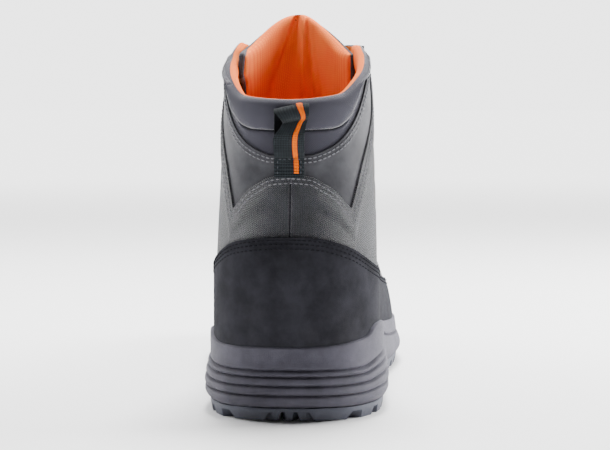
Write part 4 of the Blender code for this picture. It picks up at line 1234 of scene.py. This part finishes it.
def smooth_path(points, step):
    """A path of evenly spaced points on a smooth curve through the given ones."""
    points = np.array(points)
    dense = []
    padded = np.concatenate([[2 * points[0] - points[1]], points, [2 * points[-1] - points[-2]]])
    for i in range(len(points) - 1):
        dense += [between(*padded[i:i + 4], t) for t in np.linspace(0, 1, 24, endpoint=False)]
    dense = np.array(dense + [points[-1]])
    gone = gone_along(dense)
    even = np.linspace(0, gone[-1], max(int(gone[-1] / step), 3))
    return rows_at(even, gone, dense)


def lace_route(side):
    """The lace's turn, height and distance out, from the bottom eyelet up."""
    places = eyelet_places()
    route = []
    for pair in range(4):
        near = side if pair % 2 == 0 else -side
        (turn_a, z_a), (turn_b, z_b) = places[pair], places[pair + 1]
        over = 5.4 * MM if (near > 0) == (pair % 2 == 0) else 8.6 * MM
        start = 0.0 if pair else EYELET_DIP
        for t, out in ((0, start), (0.06, 4.0 * MM), (0.25, 4.9 * MM), (0.5, over), (0.75, 4.9 * MM),
                       (0.94, 4.0 * MM)):
            reach = (1 - turn_a) * (1 - 2 * t) if t < 0.5 else -(1 - turn_b) * (2 * t - 1)
            route.append((near * (1 - reach), z_a + (z_b - z_a) * t, out))
    last_turn, last_z = places[-1]
    route.append((side * last_turn, last_z, EYELET_DIP))
    return route


def cord_path(route):
    """An even path through places given as (turn, height, out)."""
    turn, z, out = np.array(route).T
    return smooth_path(lasted(turn, z, out), LACE_STEP)


# %% Bind the tongue's edge
edge_u = np.concatenate([np.zeros(40), np.linspace(0, 1, 80), np.ones(40)])
peak = np.exp(-((edge_u - 0.5) / 0.13) ** 2)  # near the tongue's highest point
edge_v = np.concatenate([np.linspace(0.45, 0.98, 40), np.full(80, 0.99), np.linspace(0.98, 0.45, 40)])
edge_turn, edge_z = tongue_place(edge_u, edge_v - 0.014 * peak)
edge_path = smooth_path(lasted(edge_turn, edge_z, (-5.2 + 1.0 * peak) * MM), 1.0 * MM)
along_edge = np.linspace(0, 1, len(edge_path))
binding_radius = 1.05 * MM * (1 + 0.5 * (1 - ease((along_edge - 0.30) / 0.14)))
binding_radius *= 1 - 0.9 * np.exp(-((along_edge - 0.5) / 0.09) ** 2)
tongue_binding = tube("tongue_binding", edge_path, binding_radius, binding, around=10)
report(tongue_binding)

# %% Thread the laces
for side_name, side in (("first", 1), ("second", -1)):
    lace = tube(f"lace_{side_name}", cord_path(lace_route(side)), LACE_RADIUS, lace_cord)
    if side > 0:
        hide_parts("laces")
    report(lace)
bar_turn, bar_z = eyelet_places()[0]
bar = [(bar_turn, bar_z, EYELET_DIP), (bar_turn + 0.004, bar_z - 0.4 * MM, 3.6 * MM)]
bar += [(1 - (1 - bar_turn) * s, bar_z - 0.5 * MM, 4.6 * MM) for s in (0.6, 0.0, -0.6)]
bar += [(-bar_turn - 0.004, bar_z - 0.4 * MM, 3.6 * MM), (-bar_turn, bar_z, EYELET_DIP)]
bar = [(t if t <= 1 else t - 2, z, out) for t, z, out in bar]
lace_bar = tube("lace_bar", cord_path(bar), LACE_RADIUS, lace_cord)
report(lace_bar)

# %% [markdown]
# ## The pull loop
#
# A strap of webbing is folded over and sewn to the heel at its foot. Its outer layer bows away from the
# cuff, and its fold leans. A bright stripe is woven into it, which is a strip of its own here, laid on the
# strap's outer face.

# %% Make the pull loop
LOOP_LOW, LOOP_HIGH = LOOP_BOX[0].z, LOOP_BOX[1].z
LOOP_HALF = (LOOP_BOX[1].x - LOOP_BOX[0].x) / 2
LOOP_MIDDLE = (LOOP_BOX[1].x + LOOP_BOX[0].x) / 2
LOOP_DEPTH = 10.2 * MM
LOOP_WAY = 0.090  # the way along the strap in metres, for the UV maps


def heel_line(z, out):
    """The y of the heel's middle line."""
    return on_last(np.zeros(np.shape(z)), z, out)[..., 1]


# rows of (share of height, share of reach, shift of the left edge, shift of the right edge), in mm
LOOP_ROWS = (
    (0.00, 0.00, 0.0, 0.0), (0.25, 0.02, 0.0, 0.0), (0.45, 0.06, 0.0, 0.0), (0.70, 0.10, 0.0, 0.3),
    (0.88, 0.18, 0.1, 1.4), (0.975, 0.38, 0.2, 2.3), (1.00, 0.66, 0.2, 2.6), (0.95, 0.92, 1.4, 2.6),
    (0.87, 0.94, 3.4, 2.5), (0.80, 0.76, 4.2, 1.9), (0.70, 0.82, 3.0, 1.0), (0.57, 0.86, 0.3, 0.3),
    (0.42, 0.60, 0.0, 0.0), (0.31, 0.34, 0.0, 0.0), (0.24, 0.25, 0.0, 0.0), (0.00, 0.25, 0.0, 0.0),
)


def loop_skin(u, v):
    """A point of the strap's middle, u across it and v along it from foot to foot."""
    rows = [tuple(np.full(len(v), value) for value in row) for row in LOOP_ROWS]
    up, reach = through_rows([row[:2] for row in rows], v)
    left, right = through_rows([row[2:] for row in rows], v)
    x = LOOP_MIDDLE + (2 * u - 1) * LOOP_HALF + MM * (left * (1 - u) + right * u)
    tilt = 3.6 * MM * (np.minimum(u, 0.72) - 0.72) * np.exp(-((up - 1.0) / 0.28) ** 2)
    z = LOOP_LOW + 0.4 * MM + (LOOP_HIGH - LOOP_LOW - 1.6 * MM) * up + tilt
    curl = 0.5 * MM * (2 * u - 1) ** 2 * np.exp(-((up - 0.7) / 0.25) ** 2) * np.sign(reach - 0.5)
    y = heel_line(z, 3.2 * MM) - (LOOP_DEPTH - 1.0 * MM) * reach + curl
    return np.stack([x, y, z], 1)


def loop_normal(u, v):
    step = 0.004
    along = loop_skin(u, np.clip(v + step, 0, 1)) - loop_skin(u, np.clip(v - step, 0, 1))
    across = loop_skin(np.clip(u + step, 0, 1), v) - loop_skin(np.clip(u - step, 0, 1), v)
    normal = np.cross(across, along)
    return normal / np.linalg.norm(normal, axis=1, keepdims=True)


loop, u, v = flat_grid("pull_loop_strap", 18, 130)
# The back face gets the near-black finish, which is painted shade. The front and the rims get the webbing.
lay(loop, loop_skin(u, v), (2 * LOOP_HALF, LOOP_WAY), [strap_back_painted_shade, webbing], merge=False)
modify(loop, "SOLIDIFY", thickness=1.3 * MM, offset=0.0, material_offset=1, material_offset_rim=1)
round_edges(loop, 0.4 * MM, 50)
smooth(loop, 45)
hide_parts("pull_loop")
report(loop)

stripe, u, v = flat_grid("pull_loop_stripe", 4, 130)
stripe_middle = smooth_curve([
    (0.00, 0.72), (0.40, 0.72), (0.47, 0.75), (0.56, 0.80), (0.66, 0.73), (0.76, 0.70), (1.00, 0.75),
])
strip_u = stripe_middle(v) + 0.165 * (u - 0.5)
ends = 0.02 + 0.96 * v
points = loop_skin(strip_u, ends) + loop_normal(strip_u, ends) * -0.75 * MM
lay(stripe, points, (0.002, LOOP_WAY), [stripe_web], merge=False)
modify(stripe, "SOLIDIFY", thickness=0.3 * MM, offset=0.0)
report(stripe)

# %% [markdown]
# ## The outsole
#
# The rubber sole keeps the CAD's own solid, copied, merged from loose triangles and given rounded edges.
# Each lug's tip gets a shallow hollow, as moulded lugs have.

# %% Make the outsole
TIP_AREAS = (45 * MM * MM, 260 * MM * MM)  # the faces between them that look down are tips of lugs

sole_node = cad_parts["outsole"]
outsole = bpy.data.objects.new("lugged_outsole", sole_node.data.copy())
bpy.context.scene.collection.objects.link(outsole)
outsole.data.materials.clear()
outsole.data.materials.append(outsole_rubber)
on_all(outsole, bpy.ops.mesh.remove_doubles, threshold=1e-6)
on_all(outsole, bpy.ops.mesh.dissolve_limited, angle_limit=math.radians(1.0))
on_all(outsole, bpy.ops.mesh.select_all, action="DESELECT")
for face in outsole.data.polygons:
    face.select = face.normal.z < -0.9 and TIP_AREAS[0] < face.area < TIP_AREAS[1]
tips = sum(face.select for face in outsole.data.polygons)
bpy.ops.object.mode_set(mode="EDIT")
bpy.ops.mesh.select_mode(type="FACE")
bpy.ops.mesh.inset(thickness=1.9 * MM, use_individual=True)
bpy.ops.mesh.inset(thickness=0.5 * MM, depth=-0.8 * MM, use_individual=True)
bpy.ops.object.mode_set(mode="OBJECT")
round_edges(outsole, 0.35 * MM, 35)
smooth(outsole, 40)
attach(outsole, "root")
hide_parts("outsole")
print(tips, "faces hollowed")
report(outsole)

# %% [markdown]
# ## Stitches
#
# One stitch is a short bowed bead of thread whose ends dip into the leather. It is modelled once from a
# small sphere, and a row of them is laid along a line on the last, each turned along the line and the
# surface. A whole seam's rows are one piece, a few dozen faces for each stitch.

# %% Model one stitch
HALF_STITCH = 0.95 * MM

deselect()
bpy.ops.mesh.primitive_uv_sphere_add(segments=6, ring_count=5, radius=1.0)
bead = bpy.context.object
bpy.ops.object.mode_set(mode="EDIT")
bpy.ops.mesh.select_all(action="SELECT")
bpy.ops.transform.rotate(value=math.pi / 2, orient_axis="Y", center_override=(0, 0, 0))
bpy.ops.transform.resize(value=(HALF_STITCH, 0.33 * MM, 0.30 * MM))
bpy.ops.object.mode_set(mode="OBJECT")
BEAD = np.array([vertex.co[:] for vertex in bead.data.vertices])
BEAD[:, 2] += 0.12 * MM * (1 - 2.2 * (BEAD[:, 0] / HALF_STITCH) ** 2)
BEAD_FACES = [tuple(face.vertices) for face in bead.data.polygons]
bpy.data.objects.remove(bead)
print("a stitch has", len(BEAD_FACES), "faces")


# %% Lay rows of stitches
def even_steps(points, pitch):
    """Where along a path, as fractions of its points, the stitches' middles lie."""
    gone = gone_along(points)
    count = max(int(gone[-1] / pitch), 1)
    middles = (np.arange(count) + 0.5) * gone[-1] / count
    return np.interp(middles, gone, np.arange(len(points)))


def on_upper(lines):
    """The points and the normals of lines given as (turn, height, out) arrays."""
    for turn, z, out in lines:
        turn, z, out = np.broadcast_arrays(turn, z, out)
        yield lasted(turn, z, out), outward(turn, z)


def rows_of_stitches(name, paths, finish, pitch=2.4 * MM, length=1.0):
    """Stitches along each path of points and normals, as one piece."""
    points, faces = [], []
    for path, normals in paths:
        at = even_steps(path, pitch)
        index = np.arange(len(path))
        middle, normal = rows_at(at, index, path), rows_at(at, index, normals)
        along = rows_at(at + 0.3, index, path) - rows_at(at - 0.3, index, path)
        along /= np.linalg.norm(along, axis=1, keepdims=True)
        side = np.cross(normal, along)
        side /= np.linalg.norm(side, axis=1, keepdims=True)
        for m, a, s, n in zip(middle, along, side, normal):
            start = len(points) * len(BEAD)
            points.append(m + length * BEAD[:, :1] * a + BEAD[:, 1:2] * s + BEAD[:, 2:] * n)
            faces += [tuple(start + c for c in face) for face in BEAD_FACES]
    mesh = bpy.data.meshes.new(name)
    mesh.from_pydata(np.concatenate(points).tolist(), [], faces)
    mesh.materials.append(finish)
    mesh.shade_smooth()
    piece = bpy.data.objects.new(name, mesh)
    bpy.context.scene.collection.objects.link(piece)
    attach(piece, "root")
    print(name, len(points), "stitches")


def below_line(line, turns, drops, out):
    """Lines that follow an edge at some distances from it, measured square to the edge."""
    found = []
    for drop in drops:
        z = line(turns)
        points = on_last(turns, z)
        step = np.gradient(points, axis=0)
        level = np.linalg.norm(step[:, :2], axis=1)
        slope = np.sqrt(1 + (step[:, 2] / np.maximum(level, 1e-9)) ** 2)
        z = z - drop * np.minimum(slope, 4.0)
        found.append((turns, z, out(turns, z) if callable(out) else out))
    return found


def turns_between(first, last, count=400):
    return np.linspace(first, last, count)


rows_of_stitches("stitches_wrap", on_upper(below_line(
    cuff_edge, turns_between(-0.385, 0.385), (1.5 * MM, 3.2 * MM), wrap_out)), thread)
arch = below_line(quarter_edge, turns_between(-0.1665, 0.1665), (1.6 * MM, 3.7 * MM), quarter_out)
sides = []
for side in (-1, 1):
    sides += below_line(
        quarter_edge, side * turns_between(0.1725, 0.60), (1.8 * MM, 3.6 * MM), quarter_out)
for side in (-1, 1):
    for turn_at in (0.606, 0.612):
        low, high = float(rand_line(np.array(turn_at))) + 1 * MM, float(quarter_edge(turn_at)) - 2 * MM
        z, turns = np.linspace(low, high, 300), np.full(300, side * turn_at)
        sides.append((turns, z, quarter_out(turns, z)))
rows_of_stitches("stitches_quarter", on_upper(arch + sides), thread)
for name, reach, count, drops in (("stitches_rand", 0.995, 1400, (1.5 * MM, 3.3 * MM)),
                                  ("stitches_counter", 0.33, 700, (5.4 * MM,))):
    rows_of_stitches(name, on_upper(below_line(
        rand_line, turns_between(-reach, reach, count), drops, RAND_OUT)), dark_thread)
seam_z = np.linspace(COUNTER_Z - 2 * MM, float(quarter_edge(0.0)) - 4 * MM, 120)
seam_row = (np.zeros(120), seam_z, quarter_out(0.0, seam_z) + 0.15 * MM)
rows_of_stitches("stitches_heel_seam", on_upper([seam_row]), dark_thread, pitch=1.9 * MM,
                 length=0.8)

# %% Draw the heel's seam as a dark cord in its groove
seam_path = smooth_path(lasted(np.zeros(60), seam_z[::2], quarter_out(0.0, seam_z[::2])), 1.5 * MM)
tube("heel_seam", seam_path, 0.32 * MM, dark_thread, around=8)

# %% Draw the cuff's seam as a dark cord between the roll and the band
cuff_turn = turns_between(-0.36, 0.36, 160)
cuff_path = smooth_path(lasted(cuff_turn, cuff_seam(cuff_turn) - 0.15 * MM, 0.85 * MM), 1.5 * MM)
tube("cuff_seam_cord", cuff_path, 0.5 * MM, dark_thread, around=8)

# %% Sew the counter's front edge and the facings
COUNTER_FRONT = (0.0425, 0.0625)  # the heights between which the counter is sewn down in front

upright = []
for side in (-1, 1):
    for shift in (0.0, 0.009):
        z = np.linspace(COUNTER_FRONT[0], COUNTER_FRONT[1], 60)
        turns = np.full(60, side * (0.335 + shift)) + side * 0.05 * (z - COUNTER_FRONT[0])
        upright.append((turns, z, RAND_OUT))
rows_of_stitches("stitches_counter_front", on_upper(upright), dark_thread)
facing_rows = []
for side in (-1, 1):
    for distance in (2.2 * MM, 4.0 * MM):
        z = np.linspace(THROAT_Z + 5 * MM, TIP_Z - 2.5 * MM, 240)
        facing_rows.append((side * behind_throat(z, stay_width(z) - distance), z, STAY_OUT))
    z = np.linspace(THROAT_Z + 6 * MM, TIP_Z - 2.5 * MM, 240)
    facing_rows.append((side * behind_throat(z, np.full(240, 2.0 * MM)), z, STAY_OUT))
rows_of_stitches("stitches_facings", on_upper(facing_rows), thread)

# %% Sew the pull loop's foot down
box = []
for first_u, last_u, first_v, last_v in ((0.12, 0.12, 0.925, 0.985), (0.90, 0.90, 0.925, 0.985), (
        0.12, 0.90, 0.922, 0.922)):
    box_u, box_v = np.linspace(first_u, last_u, 40), np.linspace(first_v, last_v, 40)
    facing_out = -loop_normal(box_u, box_v)
    box.append((loop_skin(box_u, box_v) + 0.7 * MM * facing_out, facing_out))
rows_of_stitches("stitches_pull_loop", box, strap_thread, pitch=1.8 * MM, length=0.7)

# %% [markdown]
# ## Finishes
#
# Every finish is drawn with nodes. What several of them share is a node group, built once: a diagonal
# weave, a leather's grain, and the dull dust that gathers low on a boot. The groups put out only masks
# and heights. The shader stays in each material, and what is the same all over is set on its own sockets.

# %% Helpers for groups
def start_group(name, inputs, outputs):
    """A new node group with its named sockets, as (group, input node, output node)."""
    group = bpy.data.node_groups.new(name, "ShaderNodeTree")
    for socket, value in inputs.items():
        kind = "NodeSocketVector" if value is None else "NodeSocketFloat"
        made = group.interface.new_socket(name=socket, in_out="INPUT", socket_type=kind)
        if value is not None:
            made.default_value = value
    for socket in outputs:
        group.interface.new_socket(name=socket, in_out="OUTPUT", socket_type="NodeSocketFloat")
    return group, group.nodes.new("NodeGroupInput"), group.nodes.new("NodeGroupOutput")


def use_group(tree, group, inputs):
    return add(tree, "Group", inputs, node_tree=group)


def humps(tree, along, rate):
    """Half rounds of the height 1 in a row, each as long as half a turn at the rate."""
    wave = calculate(tree, "SINE", calculate(tree, "MULTIPLY", along, rate))
    return calculate(tree, "ABSOLUTE", wave)


DIAGONAL = 0.785  # a slant of 45 degrees, in radians


# %% Build the weave group
# Two sets of threads cross at a slant. A chequer says which one is on top, each thread a half round.
weave_group, came, gives = start_group(
    "weave", {"Place": None, "Pitch": 0.9, "Slant": DIAGONAL}, ("Height", "Thread"))
turned = add(weave_group, "VectorRotate", {
    "Vector": came.outputs["Place"], "Angle": came.outputs["Slant"]}, rotation_type="Z_AXIS")
apart = add(weave_group, "SeparateXYZ", {0: turned.outputs[0]})
per_metre = calculate(weave_group, "DIVIDE", 1000.0, came.outputs["Pitch"])
across = calculate(weave_group, "MULTIPLY", apart.outputs[0], per_metre)
along = calculate(weave_group, "MULTIPLY", apart.outputs[1], per_metre)
round_across = humps(weave_group, across, math.pi)
round_along = humps(weave_group, along, math.pi)
cell = calculate(weave_group, "ADD", calculate(weave_group, "FLOOR", across), calculate(
    weave_group, "FLOOR", along))
on_top = calculate(weave_group, "ABSOLUTE", calculate(weave_group, "MODULO", cell, 2.0))
warp = calculate(weave_group, "MULTIPLY", calculate(weave_group, "POWER", round_across, 0.6), calculate(
    weave_group, "MULTIPLY_ADD", round_along, 0.5, 0.5))
weft = calculate(weave_group, "MULTIPLY", calculate(weave_group, "POWER", round_along, 0.6), calculate(
    weave_group, "MULTIPLY_ADD", round_across, 0.5, 0.5))
height = add(weave_group, "Mix", {0: on_top, 2: weft, 3: warp})
weave_group.links.new(height.outputs[0], gives.inputs["Height"])
weave_group.links.new(on_top, gives.inputs["Thread"])

# %% Build the grain group
# Small cells between fine creases, as on nubuck, with a slow mottle for colour.
grain_group, came, gives = start_group("grain", {"Place": None, "Size": 0.8}, ("Height", "Mottle", "Fine"))
scale = calculate(grain_group, "DIVIDE", 1000.0, came.outputs["Size"])
cells = add(grain_group, "TexVoronoi", {
    "Vector": came.outputs["Place"], "Scale": scale, "Randomness": 0.9}, feature="DISTANCE_TO_EDGE")
fine = add(grain_group, "TexNoise", {"Vector": came.outputs["Place"], "Scale": scale, "Detail": 3.0,
                                     "Roughness": 0.6})
mottle = add(grain_group, "TexNoise", {"Vector": came.outputs["Place"], "Scale": calculate(
    grain_group, "MULTIPLY", scale, 0.035), "Detail": 5.0, "Roughness": 0.62})
raised = calculate(grain_group, "MULTIPLY", cells.outputs["Distance"], 2.2, clamp=True)
grain_group.links.new(
    calculate(grain_group, "MULTIPLY_ADD", raised, 0.5, fine.outputs[0]), gives.inputs["Height"])
grain_group.links.new(add(grain_group, "MapRange", {
    0: mottle.outputs[0], 1: 0.34, 2: 0.66}).outputs[0], gives.inputs["Mottle"])
grain_group.links.new(fine.outputs[0], gives.inputs["Fine"])

# %% Build the dust group
# A mask that is strongest near the floor and breaks up into patches.
dust_group, came, gives = start_group("dust", {"Place": None, "Top": 0.05}, ("Mask",))
height_above = add(dust_group, "SeparateXYZ", {0: came.outputs["Place"]}).outputs[2]
patches = add(dust_group, "TexNoise", {"Vector": came.outputs["Place"], "Scale": 55.0, "Detail": 6.0,
                                       "Roughness": 0.7}).outputs[0]
low = add(dust_group, "MapRange", {0: height_above, 1: came.outputs["Top"], 2: 0.0}).outputs[0]
patch = add(dust_group, "MapRange", {0: patches, 1: 0.42, 2: 0.70}).outputs[0]
dust_group.links.new(calculate(dust_group, "MULTIPLY", low, patch), gives.inputs["Mask"])
print("groups:", [group.name for group in bpy.data.node_groups])


# %% Complete the finishes
def shader_of(finish):
    tree = finish.node_tree
    coordinates = add(tree, "TexCoord")
    return tree, tree.nodes["Principled BSDF"], coordinates.outputs["UV"], coordinates.outputs["Object"]


def paint(tree, shader, tone, dark, light):
    """Runs the colour from dark to light with the tone."""
    tree.links.new(blend_colours(tree, tone, (*dark, 1), (*light, 1)), shader.inputs["Base Color"])


def bump(tree, shader, height, depth):
    """A bump whose height runs from 0 to 1 over a depth in metres."""
    made = add(tree, "Bump", {"Height": height, "Distance": depth, "Strength": 1.0})
    tree.links.new(made.outputs[0], shader.inputs["Normal"])


def sheen(shader, weight, gloss=0.2):
    """A soft shine at grazing angles, and how strongly the surface mirrors."""
    shader.inputs["Sheen Weight"].default_value = weight
    shader.inputs["Specular IOR Level"].default_value = gloss
    shader.inputs["Sheen Roughness"].default_value = 0.28


def finish_cloth(finish, dark, light, pitch, depth, shine, slant=DIAGONAL, varied=0.35,
                 tint=(1, 1, 1), gloss=0.2):
    """A woven cloth: threads of two tones, painted shade in the dips between threads with lighter crowns, a
    slow unevenness, and a bump from the weave.
    """
    tree, shader, uv, place = shader_of(finish)
    weave = use_group(tree, weave_group, {"Place": uv, "Pitch": pitch, "Slant": slant})
    grain = use_group(tree, grain_group, {"Place": place, "Size": 0.6})
    # The tone follows the weave's height. The dips between threads are painted darker as shade, and the
    # crowns lighter as painted highlight.
    tone = calculate(tree, "MULTIPLY_ADD", calculate(tree, "POWER", weave.outputs["Height"], 2.0), 0.75,
                     calculate(tree, "MULTIPLY", weave.outputs["Thread"], 0.2))
    tone = calculate(tree, "ADD", tone, calculate(
        tree, "MULTIPLY", calculate(tree, "SUBTRACT", grain.outputs["Mottle"], 0.5), varied), clamp=True)
    paint(tree, shader, tone, dark, light)
    bump(tree, shader, weave.outputs["Height"], depth)
    sheen(shader, shine, gloss=gloss)
    shader.inputs["Sheen Tint"].default_value = (*tint, 1)


def finish_nubuck(finish, dark, light, size, depth, shine, dust_colour=None, dust_top=0.05,
                  polish=(0.62, 0.80), gloss=0.2):
    """A grained leather with a slow mottle, and dust low down where it is asked for."""
    tree, shader, _, place = shader_of(finish)
    grain = use_group(tree, grain_group, {"Place": place, "Size": size})
    tone = calculate(tree, "MULTIPLY_ADD", grain.outputs["Mottle"], 0.7, calculate(
        tree, "MULTIPLY", grain.outputs["Fine"], 0.3))
    colour = blend_colours(tree, tone, (*dark, 1), (*light, 1))
    if dust_colour:
        dust = use_group(tree, dust_group, {"Place": place, "Top": dust_top})
        colour = blend_colours(tree, calculate(tree, "MULTIPLY", dust.outputs["Mask"], 0.35), colour,
                               (*dust_colour, 1))
    tree.links.new(colour, shader.inputs["Base Color"])
    rough = add(tree, "MapRange", {0: grain.outputs["Fine"], 1: 0.3, 2: 0.7, 3: polish[0], 4: polish[1]})
    tree.links.new(rough.outputs[0], shader.inputs["Roughness"])
    bump(tree, shader, grain.outputs["Height"], depth)
    sheen(shader, shine, gloss=gloss)


finish_cloth(woven_cloth, (0.005, 0.005, 0.006), (0.094, 0.098, 0.112), 1.25, 0.00060, shine=0.75,
             gloss=0.1)
finish_cloth(lining_cloth, (0.82, 0.135, 0.036), (1.00, 0.285, 0.055), 0.7, 0.00010, slant=0.0,
             shine=0.06, varied=0.25, tint=(1.0, 0.35, 0.10), gloss=0.05)
finish_cloth(cuff_cloth, (0.036, 0.035, 0.046), (0.072, 0.070, 0.089), 0.55, 0.00006, slant=0.4,
             shine=0.80, varied=0.25, gloss=0.1)
finish_cloth(binding, (0.030, 0.030, 0.036), (0.075, 0.075, 0.085), 0.7, 0.00012, slant=0.0, shine=0.2)
finish_cloth(lace_cord, (0.018, 0.018, 0.021), (0.075, 0.075, 0.084), 1.3, 0.00035, shine=0.2)
finish_nubuck(wrap_nubuck, (0.030, 0.030, 0.035), (0.060, 0.060, 0.068), 0.35, 0.00005, 0.10,
              polish=(0.55, 0.68), gloss=0.15)
finish_nubuck(rand_nubuck, (0.013, 0.013, 0.016), (0.030, 0.030, 0.037), 0.45, 0.00010, 0.02,
              (0.055, 0.053, 0.052), 0.060, polish=(0.86, 0.96), gloss=0.05)
finish_nubuck(midsole_foam, (0.046, 0.044, 0.059), (0.084, 0.080, 0.103), 0.50, 0.00012, 0.03,
              (0.115, 0.111, 0.112), 0.022)
finish_nubuck(outsole_rubber, (0.055, 0.058, 0.076), (0.110, 0.115, 0.142), 0.60, 0.00010, 0.03,
              (0.160, 0.155, 0.155), 0.006)


# %% Draw the webbing, the threads and the metal
def finish_webbing(finish, dark, light, shine=0.0):
    """Ribs across a strap and cords along it."""
    tree, shader, uv, place = shader_of(finish)
    apart = add(tree, "SeparateXYZ", {0: uv})
    ribs = humps(tree, apart.outputs[1], math.pi / (0.95 * MM))
    cords = humps(tree, apart.outputs[0], math.pi / (1.15 * MM))
    height = calculate(tree, "MULTIPLY_ADD", ribs, 0.65, calculate(tree, "MULTIPLY", cords, 0.35))
    grain = use_group(tree, grain_group, {"Place": place, "Size": 0.5})
    # The tone follows the ribs' height: painted shade in the troughs, and lighter crowns as painted
    # highlight.
    tone = calculate(tree, "ADD", height, calculate(tree, "MULTIPLY", calculate(
        tree, "SUBTRACT", grain.outputs["Mottle"], 0.5), 0.5), clamp=True)
    paint(tree, shader, tone, dark, light)
    bump(tree, shader, height, 0.00030)
    sheen(shader, shine, gloss=0.1)


def finish_thread(finish, dark, light):
    tree, shader, _, place = shader_of(finish)
    twist = add(tree, "TexNoise", {"Vector": place, "Scale": 1600.0, "Detail": 2.0}).outputs[0]
    paint(tree, shader, twist, dark, light)
    bump(tree, shader, twist, 0.0001)
    sheen(shader, 0.0, gloss=0.05)


def finish_metal(finish):
    tree, shader, _, place = shader_of(finish)
    scratches = add(tree, "TexNoise", {"Vector": place, "Scale": 900.0, "Detail": 4.0}).outputs[0]
    paint(tree, shader, scratches, (0.05, 0.05, 0.055), (0.16, 0.16, 0.17))
    rough = add(tree, "MapRange", {0: scratches, 1: 0.3, 2: 0.7, 3: 0.25, 4: 0.45})
    tree.links.new(rough.outputs[0], shader.inputs["Roughness"])


finish_webbing(webbing, (0.005, 0.0065, 0.0075), (0.022, 0.027, 0.031), shine=0.06)
finish_webbing(stripe_web, (0.50, 0.074, 0.0005), (0.78, 0.136, 0.002))
finish_thread(thread, (0.12, 0.12, 0.135), (0.27, 0.27, 0.29))
finish_thread(dark_thread, (0.006, 0.006, 0.008), (0.022, 0.022, 0.027))
# Near black: painted shade on the strap's back face.
finish_thread(strap_back_painted_shade, (0.0015, 0.0015, 0.002), (0.004, 0.004, 0.005))
finish_thread(strap_thread, (0.030, 0.034, 0.040), (0.090, 0.098, 0.110))
finish_metal(eyelet_metal)
print("finishes:", sorted(m.name for m in bpy.data.materials if m.use_nodes))
